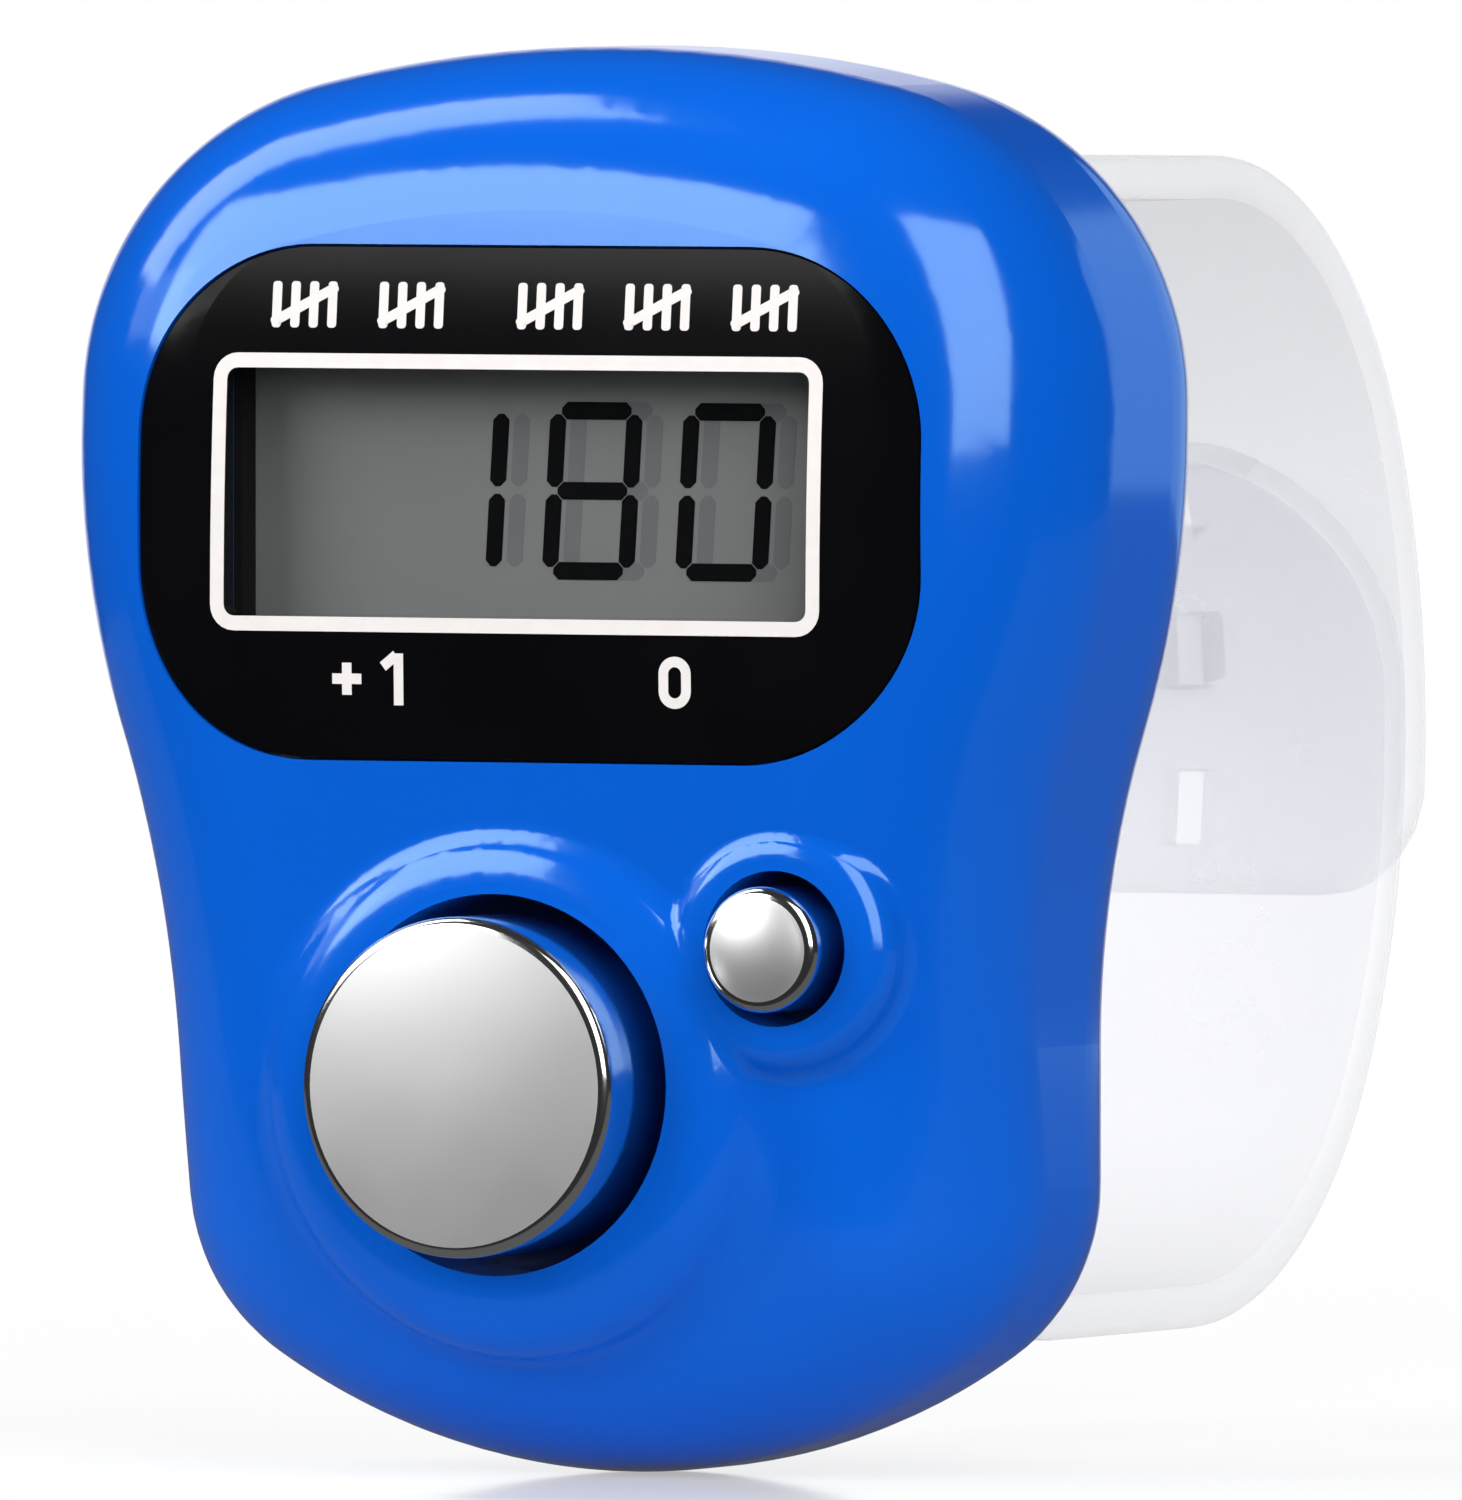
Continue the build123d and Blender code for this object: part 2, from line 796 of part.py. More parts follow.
# Positive clip: a strap under the cell with a leg up to the board on each side
with BuildPart() as battery_clip:
    clip_inner = cell_radius + clip_gap
    clip_outer = clip_inner + clip_thickness
    with BuildSketch(axial_plane(0, cell_z)):
        with BuildLine():
            Polyline(
                (-clip_outer, board_back_level),
                (-clip_outer, clip_level),
                (clip_outer, clip_level),
                (clip_outer, board_back_level),
                (clip_inner, board_back_level),
                (clip_inner, clip_level + clip_thickness),
                (-clip_inner, clip_level + clip_thickness),
                (-clip_inner, board_back_level),
                close=True,
            )
        make_face()
    extrude(amount=clip_width / 2, both=True)
save(battery_clip, "battery_clip")

# Negative leaf: soldered to the board, bent down on to the cell's cap
with BuildPart() as battery_leaf:
    foot_level = board_back_level - leaf_thickness / 2
    touch_level = cell_top_level + leaf_thickness / 2 + contact_gap
    with BuildSketch(Plane(origin=(0, 0, 0), x_dir=(0, -1, 0), z_dir=(-1, 0, 0))):
        with BuildLine() as leaf_line:
            Polyline(
                (foot_level, cell_z + leaf_length),
                (foot_level, cell_z + leaf_length - leaf_foot),
                (touch_level, cell_z),
                (touch_level + leaf_thickness, cell_z - leaf_tail),
            )
        trace(line_width=leaf_thickness)
    extrude(amount=leaf_width / 2, both=True)
save(battery_leaf, "battery_leaf")

# Controller chip under its blob of epoxy
with BuildPart() as controller_chip:
    blob_sphere = (chip_radius**2 + chip_height**2) / (2 * chip_height)
    with BuildSketch(axial_plane(chip_x, chip_z)):
        with BuildLine():
            Line((0, board_back_level), (chip_radius, board_back_level))
            RadiusArc(
                (chip_radius, board_back_level), (0, board_back_level - chip_height), blob_sphere
            )
            Line((0, board_back_level - chip_height), (0, board_back_level))
        make_face()
    revolve(axis=front_axis(chip_x, chip_z))
save(controller_chip, "controller_chip")

board_capacitor = plate(
    capacitor_x,
    capacitor_z,
    capacitor_length,
    capacitor_width,
    board_back_level - capacitor_height,
    board_back_level,
)
save(board_capacitor, "board_capacitor")

with BuildPart() as board_resistors:
    with BuildSketch(front_plane(board_back_level - resistor_height)):
        with Locations((resistor_x, resistor_z)):
            with GridLocations(0, resistor_pitch, 1, 2):
                Rectangle(resistor_length, resistor_width)
    extrude(amount=resistor_height)
save(board_resistors, "board_resistors")

# Case screws, driven from the back
with BuildPart() as case_screws:
    with BuildSketch(front_plane(screw_head_level)):
        with Locations(*screw_places):
            Circle(screw_head_radius)
    extrude(amount=screw_head_height)
    with BuildSketch(front_plane(screw_head_level)):
        with Locations(*screw_places):
            Circle(screw_radius)
    extrude(amount=parting_level + screw_bite - screw_head_level)
    with BuildSketch(front_plane(screw_head_level)):
        with Locations(*screw_places):
            Rectangle(cross_length, cross_width)
            Rectangle(cross_width, cross_length)
    extrude(amount=cross_depth, mode=Mode.SUBTRACT)
save(case_screws, "case_screws")

# Board screws, driven from the back of the board into the front shell's posts
with BuildPart() as board_screws:
    with BuildSketch(front_plane(board_back_level - board_screw_head_height)):
        with Locations(*post_places):
            Circle(board_screw_head_radius)
    extrude(amount=board_screw_head_height)
    with BuildSketch(front_plane(board_back_level)):
        with Locations(*post_places):
            Circle(board_screw_radius)
    extrude(amount=board_thickness + board_screw_bite)
save(board_screws, "board_screws")

# Finger strap: two tongues that leave the bridges, turn and overlap at the rear
strap_mid_y = strap_gap + strap_thickness / 2 - back_level
rear_center_y = strap_reach / 2 - strap_thickness / 2 - strap_rear_radius
inner_rear_radius = strap_rear_radius - strap_thickness - strap_gap


def tongue(side, rear_radius, tip_z, tip_corner):
    """One half of the strap, above (side 1) or below (side -1) the middle."""
    leave = radians(strap_leave_angle)
    along = Vector(sin(leave), cos(leave))
    inward = Vector(cos(leave), -sin(leave))
    leave_end = (
        Vector(strap_mid_y, strap_flat / 2)
        + Vector(1 - cos(leave), sin(leave)) * strap_leave_radius
    )
    # The corner arc touches the straight run and, from inside, the rear arc
    reach = leave_end + inward * strap_corner_radius - Vector(rear_center_y, 0)
    ahead = reach.dot(along)
    run_length = sqrt(ahead**2 - reach.length**2 + (rear_radius - strap_corner_radius) ** 2) - ahead
    corner_center = reach + along * run_length
    rear_turn = degrees(atan2(corner_center.Y, corner_center.X))
    corner_turn = 180 - rear_turn - strap_leave_angle
    tip_turn = degrees(asin(-side * tip_z / rear_radius))
    with BuildPart() as half:
        with BuildSketch(Plane.YZ):
            with BuildLine():
                flat = Line((strap_mid_y, 0), (strap_mid_y, side * strap_flat / 2))
                bend = JernArc(flat @ 1, flat % 1, strap_leave_radius, -side * strap_leave_angle)
                run = Line(bend @ 1, bend @ 1 + (bend % 1) * run_length)
                corner = JernArc(run @ 1, run % 1, strap_corner_radius, -side * corner_turn)
                JernArc(corner @ 1, corner % 1, rear_radius, -side * (rear_turn + tip_turn))
            trace(line_width=strap_thickness)
        extrude(amount=strap_width / 2, both=True)
        for rim in (0, -1):
            fillet(half.faces().filter_by(Axis.X).group_by(Axis.X)[rim].edges(), strap_edge_radius)
        with BuildSketch(front_plane(-strap_reach)):
            with Locations((0, tip_z + side * case_height)):
                RectangleRounded(strap_width, 2 * case_height, tip_corner)
        extrude(amount=2 * strap_reach, mode=Mode.INTERSECT)
    return half.part


def strap_plane(radius, turn):
    """A plane square to the rear arc of the strap, facing away from the finger."""
    outward = (0, cos(radians(turn)), sin(radians(turn)))
    origin = (0, rear_center_y + radius * outward[1], radius * outward[2])
    return Plane(origin=origin, x_dir=(1, 0, 0), z_dir=outward)


hole_turns = [
    degrees(asin(first_hole_z / strap_rear_radius) - place * hole_pitch / strap_rear_radius)
    for place in range(hole_count)
]
with BuildPart() as finger_strap:
    add(tongue(1, strap_rear_radius, upper_tip_z, upper_tip_corner))
    for turn in hole_turns:
        with BuildSketch(strap_plane(strap_rear_radius, turn)):
            Rectangle(hole_width, hole_length)
        extrude(amount=strap_thickness, both=True, mode=Mode.SUBTRACT)
    add(tongue(-1, inner_rear_radius, lower_tip_z, strap_width / 2 - strap_gap))
    with BuildSketch(strap_plane(inner_rear_radius, hole_turns[peg_hole_index])):
        Rectangle(hole_width - 2 * peg_clearance, hole_length - 2 * peg_clearance)
    extrude(amount=strap_rear_radius + strap_thickness / 2 + peg_rise - inner_rear_radius)
save(finger_strap, "finger_strap")
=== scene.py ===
"""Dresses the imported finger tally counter: finishes, printing, display digits, caps, strap and stage."""

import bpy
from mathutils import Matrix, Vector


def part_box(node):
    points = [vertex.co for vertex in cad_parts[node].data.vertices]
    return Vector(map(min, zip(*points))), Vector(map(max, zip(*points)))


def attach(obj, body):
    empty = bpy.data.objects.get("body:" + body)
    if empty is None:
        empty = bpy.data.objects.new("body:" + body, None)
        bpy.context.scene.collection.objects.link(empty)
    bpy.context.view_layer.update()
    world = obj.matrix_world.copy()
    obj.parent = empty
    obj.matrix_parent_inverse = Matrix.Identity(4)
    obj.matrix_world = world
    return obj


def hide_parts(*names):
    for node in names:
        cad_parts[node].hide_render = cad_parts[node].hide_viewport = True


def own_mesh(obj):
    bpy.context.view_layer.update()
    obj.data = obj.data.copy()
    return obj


bl_info = {
    "name": "Finger tally counter",
    "version": (1, 0, 0),
    "blender": (4, 5, 0),
    "location": "View3D > Sidebar > Counter",
    "description": "Finishes and added pieces for a tally counter that is worn on a finger",
    "category": "Object",
}

from math import asin, atan2, cos, hypot, pi, radians, sin, sqrt, tan

import bmesh
import bpy
from bpy.props import FloatProperty, FloatVectorProperty, IntProperty, PointerProperty, StringProperty
from mathutils import Matrix, Vector

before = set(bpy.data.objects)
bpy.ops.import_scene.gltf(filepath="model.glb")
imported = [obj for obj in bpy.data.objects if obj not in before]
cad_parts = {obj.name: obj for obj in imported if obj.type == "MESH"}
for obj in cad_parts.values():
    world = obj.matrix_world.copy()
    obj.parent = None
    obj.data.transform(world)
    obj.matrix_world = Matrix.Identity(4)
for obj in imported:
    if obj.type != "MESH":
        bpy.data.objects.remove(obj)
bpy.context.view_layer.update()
MM = 0.001
# Width of the faint smears that handling leaves on every finish
SMEAR_MM = 3.0
# Steps of a full turn
SPIN_STEPS = 96
PANEL_LOW, PANEL_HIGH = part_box("display_panel")
FILM_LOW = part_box("front_polariser")[0]
STRAP_LOW, STRAP_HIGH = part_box("finger_strap")
CASE_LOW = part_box("front_shell")[0]


def linear(code):
    """Turn an sRGB hex value into linear red, green, blue and alpha."""
    values = [int(code[place : place + 2], 16) / 255 for place in (1, 3, 5)]
    return [v / 12.92 if v <= 0.04045 else ((v + 0.055) / 1.055) ** 2.4 for v in values] + [1.0]


def size(name, default, description):
    """A length that the user may change, given in millimetres."""
    return FloatProperty(
        name=name, description=description, default=default * MM,
        unit="LENGTH", subtype="DISTANCE", precision=5,
    )


def angle(name, default, description):
    """An angle that the user may change, given in degrees."""
    return FloatProperty(
        name=name, description=description, default=radians(default), unit="ROTATION", subtype="ANGLE"
    )


def power(name, default, description):
    """A lamp's power that the user may change, in watts."""
    return FloatProperty(name=name, description=description, default=default, min=0, unit="POWER")


def share(name, default, description):
    """A strength or share that the user may change, from 0 to 1."""
    return FloatProperty(name=name, description=description, default=default, min=0, max=1, subtype="FACTOR")


def colour(name, code, description):
    """A colour that the user may change, with its sRGB hex value as the default."""
    return FloatVectorProperty(
        name=name, description=description, default=linear(code), size=4, subtype="COLOR", min=0, max=1
    )


class CounterFinish(bpy.types.PropertyGroup):
    """Colours of the counter's materials."""

    case_blue: colour("Case", "#045ED2", "Blue of the moulded case")
    panel_black: colour("Panel", "#060608", "Black of the display panel")
    film_grey: colour("Display", "#828484", "Grey of the display at rest")
    segment_black: colour("Segments", "#040405", "Driven segments of the display")
    # Colour of the painted shadow beside the segments
    painted_segment_shadow: colour("Segment shade", "#717376", "Shade that the segments throw on the reflector")
    print_white: colour("Print", "#EDE8E6", "Ink of the printed lines and marks")
    chrome_grey: colour("Chrome", "#E3E3E3", "Plating of the two caps")
    strap_clear: colour("Strap", "#E2E2E7", "Tint of the clear strap")


class CounterPrint(bpy.types.PropertyGroup):
    """Sizes of the printed marks and of the display's digits."""

    crown_radius: size("Crown radius", 85.9, "Radius to which the panel's face is crowned")
    crown_height: size("Crown height", 4.0, "Height of the line where the panel stands furthest forward")
    ink_thickness: size("Ink thickness", 0.02, "Height of the ink above the panel")
    window_width: size("Window width", 17.6, "Width of the opening in the panel")
    window_height: size("Window height", 6.8, "Height of the opening in the panel")
    gasket_width: size("Gasket width", 0.24, "Width of the foam tape behind the window")
    line_x: size("Line centre", -0.3, "Middle of the window line, across")
    line_z: size("Line height", 7.3, "Middle of the window line, upright")
    line_length: size("Line length", 18.2, "Outer length of the line round the window")
    line_height: size("Line depth", 7.5, "Outer height of the line round the window")
    line_corner: size("Line corner", 0.7, "Outer corner radius of the line round the window")
    line_width: size("Line width", 0.4, "Width of the line round the window")
    tally_height: size("Tally height", 1.25, "Height of the tally strokes above the window")
    tally_width: size("Tally stroke", 0.27, "Width of a tally stroke")
    tally_z: size("Tally row", 12.36, "Height of the row of tally strokes")
    tally_lean: angle("Tally lean", 27, "Rise of the stroke across a group")
    ink_sink: size("Ink sink", 0.004, "How deep the ink's back lies in the panel")
    mark_height: size("Mark height", 1.4, "Height of the marks below the window")
    plus_x: size("Plus", -5.3, "Middle of the plus, across")
    one_x: size("One", -3.75, "Middle of the one, across")
    nought_x: size("Nought", 4.5, "Middle of the nought, across")
    mark_z: size("Mark row", 2.28, "Height of the row of marks below the window")
    digits: StringProperty(name="Digits", description="Number that the display shows", default="180")
    digit_height: size("Digit height", 4.8, "Height of a digit")
    digit_width: size("Digit width", 2.76, "Width of a digit")
    digit_pitch: size("Digit pitch", 3.98, "Distance between the middles of two digits")
    digit_stroke: size("Digit stroke", 0.48, "Width of a segment")
    digit_gap: size("Segment gap", 0.1, "Gap between two segments")
    digit_last_x: size("Last digit", 4.98, "Middle of the digit on the right")
    digit_z: size("Digit row", 7.36, "Middle of the digits, upright")
    segment_thickness: size("Segment thickness", 0.014, "Height of the segments on the film")
    # The shade below is the segments' painted shadow, a darker sheet laid on the film
    shade_thickness: size("Shade thickness", 0.006, "Height of the shade on the film")
    shade_shift: size("Shade shift", 0.62, "How far the shade lies to the side of its segment")
    digit_slant: angle("Digit slant", 3.5, "Lean of the digits")


class CounterCaps(bpy.types.PropertyGroup):
    """Sizes of the two button caps and of the domes under them."""

    count_radius: size("Count radius", 4.6, "Radius of the count cap")
    reset_radius: size("Reset radius", 1.7, "Radius of the reset cap")
    count_stem: size("Count stem", 1.825, "Radius of the stem inside the count cap")
    reset_stem: size("Reset stem", 0.4, "Radius of the stem inside the reset cap")
    crown: size("Crown", 0.3, "Height of the crowned face above its rim")
    edge: size("Edge", 0.3, "Rounding of the rim")
    wall: size("Wall", 0.9, "Thickness of the cap's wall")
    flange_thickness: size("Flange", 0.9, "Thickness of the flange that holds the cap in its well")
    flange_lip: size("Flange lip", 0.05, "Chamfer of the flange")
    count_dome_top: size("Count dome top", 2.1, "Radius of the flat top of the count dome")
    reset_dome_top: size("Reset dome top", 1.2, "Radius of the flat top of the reset dome")
    dome_wall: size("Dome wall", 0.4, "Thickness of a dome")
    dome_skirt: size("Dome skirt", 0.5, "Width of the rim that a dome stands on")
    dome_edge: size("Dome edge", 0.08, "Rounding of a dome's edges")
    pill_play: size("Pill play", 0.05, "Gap between a dome and its contact pill")


class CounterStrap(bpy.types.PropertyGroup):
    """Sizes of the finger strap."""

    width: size("Width", (STRAP_HIGH.x - STRAP_LOW.x) / MM, "Width of the strap")
    thickness: size("Thickness", 1.2, "Thickness of the strap")
    reach: size("Reach", 30.0, "Depth of the loop, outside")
    play: size("Play", 0.15, "Gap to the case and between the tongues")
    rim: size("Rim radius", 0.35, "Rounding of the strap's edges")
    flat: size("Flat", 21.0, "Straight length along the back of the case")
    leave_radius: size("Leaving radius", 5.0, "Radius of the bend past a bridge")
    leave_angle: angle("Leaving angle", 90, "Turn past a bridge")
    corner_radius: size("Corner radius", 12.5, "Radius of the loop's corners")
    rear_radius: size("Rear radius", 20.0, "Radius of the loop's rear, at the outer tongue")
    upper_tip: size("Upper tip", -4.6, "Height of the outer tongue's tip")
    upper_tip_corner: size("Upper tip corner", 3.0, "Corner radius of the outer tongue's tip")
    lower_tip: size("Lower tip", 7.9, "Height of the inner tongue's tip")
    tip_point: size("Tip point", 0.02, "Half width that a round tip ends with")
    tip_thin: share("Tip edge", 0.35, "Share of its thickness that a tip ends with")
    hole_width: size("Hole width", 1.3, "Width of an adjusting hole")
    hole_length: size("Hole length", 2.1, "Length of an adjusting hole")
    hole_pitch: size("Hole pitch", 4.4, "Distance between two adjusting holes")
    first_hole: size("First hole", 10.4, "Height of the topmost hole")
    hole_count: IntProperty(name="Holes", description="Number of adjusting holes", default=4, min=1)
    peg_hole: IntProperty(name="Peg hole", description="Hole that the peg is buttoned in", default=2, min=0)
    peg_play: size("Peg play", 0.1, "Gap round the peg")
    peg_rise: size("Peg rise", 0.6, "How far the peg stands out of its hole")
    peg_edge: size("Peg edge", 0.15, "Rounding of the peg's edges")


class CounterStage(bpy.types.PropertyGroup):
    """Camera, floor and lamps."""

    azimuth: angle("Azimuth", 25.5, "Camera's turn to the right")
    elevation: angle("Elevation", 1.6, "Camera's height angle")
    distance: size("Distance", 1100.0, "Camera's distance from the case")
    frame_width: size("Frame width", 39.6, "Width of the picture at the case")
    aim_right: size("Aim right", 2.14, "Middle of the picture, to the right of the case's middle")
    aim_up: size("Aim up", 0.22, "Middle of the picture, above the case's middle")
    floor_drop: size("Floor drop", 0.02, "Gap between the case and the floor")
    key_power: power("Key lamp", 0.52, "Power of the lamp above, at the left")
    front_power: power("Front lamp", 0.88, "Power of the lamp in front, at the left")
    side_power: power("Side lamp", 1.5, "Power of the large lamp at the right")
    rear_power: power("Rear lamp", 0.16, "Power of the lamp behind, at the right")
    left_power: power("Left strip", 0.06, "Power of the strip lamp at the left")
    room_light: share("Room light", 0.18, "Strength of the even light of the room")
    dark_studio: share("Dark studio", 0.03, "Strength of the room that the gloss mirrors")
    floor_gloss: share("Floor in gloss", 0.12, "Strength of the floor that the gloss mirrors")
    floor_white: share("Floor white", 0.4, "Share of plain white in the paper at the case")
    backdrop_core: angle("Backdrop, white", 8.11, "Half angle of the backdrop that is white in the gloss")
    backdrop_rim: angle("Backdrop, rim", 21.57, "Half angle at which the backdrop ends in the gloss")
    paper_width: size("Paper width", 360.0, "Width and depth of the sheet of paper")
    paper_front: size("Paper front", 14.0, "How far the paper reaches in front of the case")
    paper_lip: size("Paper lip", 12.0, "Depth over which the paper's front edge turns white")
    shade_near: size("Shade, near", 35.0, "Distance at which the paper starts to turn white")
    shade_far: size("Shade, far", 140.0, "Distance from which the paper is white")


def add(tree, kind, inputs=None, **settings):
    """Add a node with its settings; an input is a value or the socket that feeds it."""
    node = tree.nodes.new(kind)
    for name, value in settings.items():
        setattr(node, name, value)
    for name, value in (inputs or {}).items():
        if isinstance(value, bpy.types.NodeSocket):
            tree.links.new(value, node.inputs[name])
        else:
            node.inputs[name].default_value = value
    return node


def finish(name, base, uneven, uneven_mm=6.0, grain_mm=0.0, grain_depth_mm=0.0, wear=0.2, **sockets):
    """A material with a faintly uneven colour, smears and, if it has one, a grain; sizes in millimetres."""
    material = bpy.data.materials.new(name)
    material.use_nodes = True
    tree = material.node_tree
    tree.nodes.clear()
    base = linear(base) if isinstance(base, str) else list(base)
    shader = add(tree, "ShaderNodeBsdfPrincipled", {"Base Color": base, **sockets})
    add(tree, "ShaderNodeOutputMaterial", {"Surface": shader.outputs["BSDF"]})
    place = add(tree, "ShaderNodeTexCoord").outputs["Object"]
    cloud = add(
        tree, "ShaderNodeTexNoise",
        {"Vector": place, "Scale": 1 / (uneven_mm * MM), "Detail": 3.0, "Roughness": 0.55},
    )
    pale = [min(1.0, c * (1 + uneven) + 0.01 * uneven) for c in base[:3]] + [1.0]
    deep = [c * (1 - uneven) for c in base[:3]] + [1.0]
    colours = {"Factor": cloud.outputs["Fac"], "A": deep, "B": pale}
    tint = add(tree, "ShaderNodeMix", colours, data_type="RGBA")
    tree.links.new(tint.outputs["Result"], shader.inputs["Base Color"])
    rough = sockets["Roughness"]
    smear = add(tree, "ShaderNodeTexNoise", {"Vector": place, "Scale": 1 / (SMEAR_MM * MM), "Detail": 4.0})
    spread = add(
        tree, "ShaderNodeMapRange",
        {"Value": smear.outputs["Fac"], "To Min": rough * (1 - wear), "To Max": rough * (1 + wear)},
    )
    tree.links.new(spread.outputs["Result"], shader.inputs["Roughness"])
    if grain_mm:
        tooth = {"Vector": place, "Scale": 1 / (grain_mm * MM), "Detail": 2.0}
        grain = add(tree, "ShaderNodeTexNoise", tooth)
        bump = add(
            tree, "ShaderNodeBump",
            {"Height": grain.outputs["Fac"], "Strength": 1.0, "Distance": grain_depth_mm * MM},
        )
        tree.links.new(bump.outputs["Normal"], shader.inputs["Normal"])
    return material


def dress(material, *nodes):
    """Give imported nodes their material."""
    for node in nodes:
        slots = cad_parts[node].data.materials
        slots.clear()
        slots.append(material)


def new_object(name, bm):
    """Turn a bmesh into an object of the scene."""
    mesh = bpy.data.meshes.new(name)
    bm.to_mesh(mesh)
    bm.free()
    item = bpy.data.objects.new(name, mesh)
    bpy.context.scene.collection.objects.link(item)
    return item


def new_piece(name, bm, material, body, smooth=0):
    """Turn a bmesh into a piece that rides on a body, smooth up to an angle in degrees."""
    piece = new_object(name, bm)
    piece.data.materials.append(material)
    if smooth:
        piece.data.shade_smooth()
        piece.data.set_sharp_from_angle(angle=radians(smooth))
    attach(piece, body)
    return piece


def bevel(bm, geom, offset, segments, affect):
    """Round edges, or the corners of a flat face."""
    bmesh.ops.bevel(
        bm, geom=geom, offset=offset, segments=segments, profile=0.5, affect=affect, material=-1
    )


def spun(bm, profile, x, z):
    """Spin a profile of (radius, level) pairs about the front-facing axis through x, z."""
    points = [bm.verts.new((x + radius, -level, z)) for radius, level in profile]
    edges = [bm.edges.new(pair) for pair in zip(points, points[1:])]
    bmesh.ops.spin(
        bm, geom=points + edges, cent=(x, 0, z), axis=(0, 1, 0), angle=2 * pi, steps=SPIN_STEPS,
        use_merge=True,
    )
    bmesh.ops.remove_doubles(bm, verts=bm.verts, dist=0.002 * MM)
    bmesh.ops.recalc_face_normals(bm, faces=bm.faces)


def bar(bm, length, width, turn, x, z, corner=0.0, segments=1):
    """A flat bar in the front plane, with cut or rounded ends."""
    others = set(bm.verts)
    made = bmesh.ops.create_grid(bm, x_segments=1, y_segments=1, size=0.5)["verts"]
    bmesh.ops.scale(bm, vec=(length, width, 1), verts=made)
    if corner:
        bevel(bm, made, corner, segments, "VERTICES")
    made = [vert for vert in bm.verts if vert not in others]
    stand = Matrix.Translation((x, 0, z)) @ Matrix.Rotation(-turn, 4, "Y") @ Matrix.Rotation(pi / 2, 4, "X")
    bmesh.ops.transform(bm, matrix=stand, verts=made)


def hollow(bm, width):
    """Leave only the rim of a flat face."""
    rim = bmesh.ops.inset_region(
        bm, faces=bm.faces[:], use_boundary=True, use_even_offset=True, thickness=width
    )["faces"]
    middle = [face for face in bm.faces if face not in rim]
    bmesh.ops.delete(bm, geom=middle, context="FACES_ONLY")


def thicken(bm, level, thickness):
    """Give flat faces that look to the front a thickness, with their backs at a level."""
    bmesh.ops.recalc_face_normals(bm, faces=bm.faces)
    for face in list(bm.faces):
        if face.normal.y > 0:
            face.normal_flip()
    bmesh.ops.translate(bm, vec=(0, -level, 0), verts=bm.verts)
    top = bmesh.ops.extrude_face_region(bm, geom=bm.faces[:], use_keep_orig=True)
    raised = [item for item in top["geom"] if isinstance(item, bmesh.types.BMVert)]
    bmesh.ops.translate(bm, vec=(0, -thickness, 0), verts=raised)
    bmesh.ops.recalc_face_normals(bm, faces=bm.faces)


def printed(name, bm, ink, sizes):
    """Turn flat strokes into a film of ink that follows the panel's crowned face."""
    thicken(bm, -PANEL_LOW.y - sizes.ink_sink, sizes.ink_thickness)
    for vert in bm.verts:
        drop = sizes.crown_radius - sqrt(sizes.crown_radius**2 - (vert.co.z - sizes.crown_height) ** 2)
        vert.co.y += drop
    new_piece(name, bm, ink, "case")


class COUNTER_OT_case(bpy.types.Operator):
    """Finish the two shells and the screws that hold them"""

    bl_idname = "counter.case"
    bl_label = "Case"

    def execute(self, context):
        colours = context.scene.counter_finish
        # Polished injection-moulded ABS: deep even colour, a wet gloss that the dye tints, and
        # very slight waviness
        abs_plastic = finish(
            "Polished moulded ABS", colours.case_blue, uneven=0.03, uneven_mm=9, grain_mm=2.2,
            grain_depth_mm=0.004, Roughness=0.12, IOR=1.53,
            **{"Specular IOR Level": 0.72, "Specular Tint": linear("#C8F4FF")},
        )
        dress(abs_plastic, "front_shell", "rear_shell")
        # Zinc-plated steel: bluish grey, dulled, with small tumbling marks
        zinc = finish(
            "Zinc plated steel", "#B4B7BB", uneven=0.08, uneven_mm=0.8, grain_mm=0.15, grain_depth_mm=0.006,
            wear=0.25, Metallic=1.0, Roughness=0.36,
        )
        dress(zinc, "case_screws", "board_screws")
        return {"FINISHED"}


class COUNTER_OT_panel(bpy.types.Operator):
    """Finish the display panel and its window"""

    bl_idname = "counter.panel"
    bl_label = "Display panel"

    def execute(self, context):
        colours = context.scene.counter_finish
        # Gloss black polystyrene: near black, mirror-like, faintly wavy from the mould
        gloss_black = finish(
            "Gloss black polystyrene", colours.panel_black, uneven=0.15, uneven_mm=5, grain_mm=3,
            grain_depth_mm=0.002, Roughness=0.12, IOR=1.55, **{"Specular IOR Level": 0.1},
        )
        dress(gloss_black, "display_panel")
        # Clear acrylic: only a breath of haze and gloss, the display shows through
        acrylic = finish(
            "Clear cast acrylic", "#14171A", uneven=0.05, grain_mm=4, grain_depth_mm=0.001,
            Roughness=0.06, IOR=1.49, Alpha=0.08,
        )
        dress(acrylic, "window_lens")
        # Closed-cell foam: dead black, so the space behind the window stays dark
        foam = finish(
            "Black foam tape", "#0B0B0C", uneven=0.2, uneven_mm=0.6, grain_mm=0.25, grain_depth_mm=0.03,
            wear=0.1, Roughness=0.9, **{"Specular IOR Level": 0.2},
        )
        sizes = context.scene.counter_print
        gasket = bmesh.new()
        outer_width = sizes.window_width + 2 * sizes.gasket_width
        outer_height = sizes.window_height + 2 * sizes.gasket_width
        bar(gasket, outer_width, outer_height, 0, sizes.line_x, sizes.line_z)
        hollow(gasket, sizes.gasket_width)
        play = 0.02 * MM
        thicken(gasket, -FILM_LOW.y + play, FILM_LOW.y - PANEL_HIGH.y - 2 * play)
        new_piece("dust_gasket", gasket, foam, "case")
        return {"FINISHED"}


# Middles of the groups of tally strokes, across, in two sets
TALLY_GROUPS_MM = (-6.75, -3.55, 0.6, 3.8, 7.0)


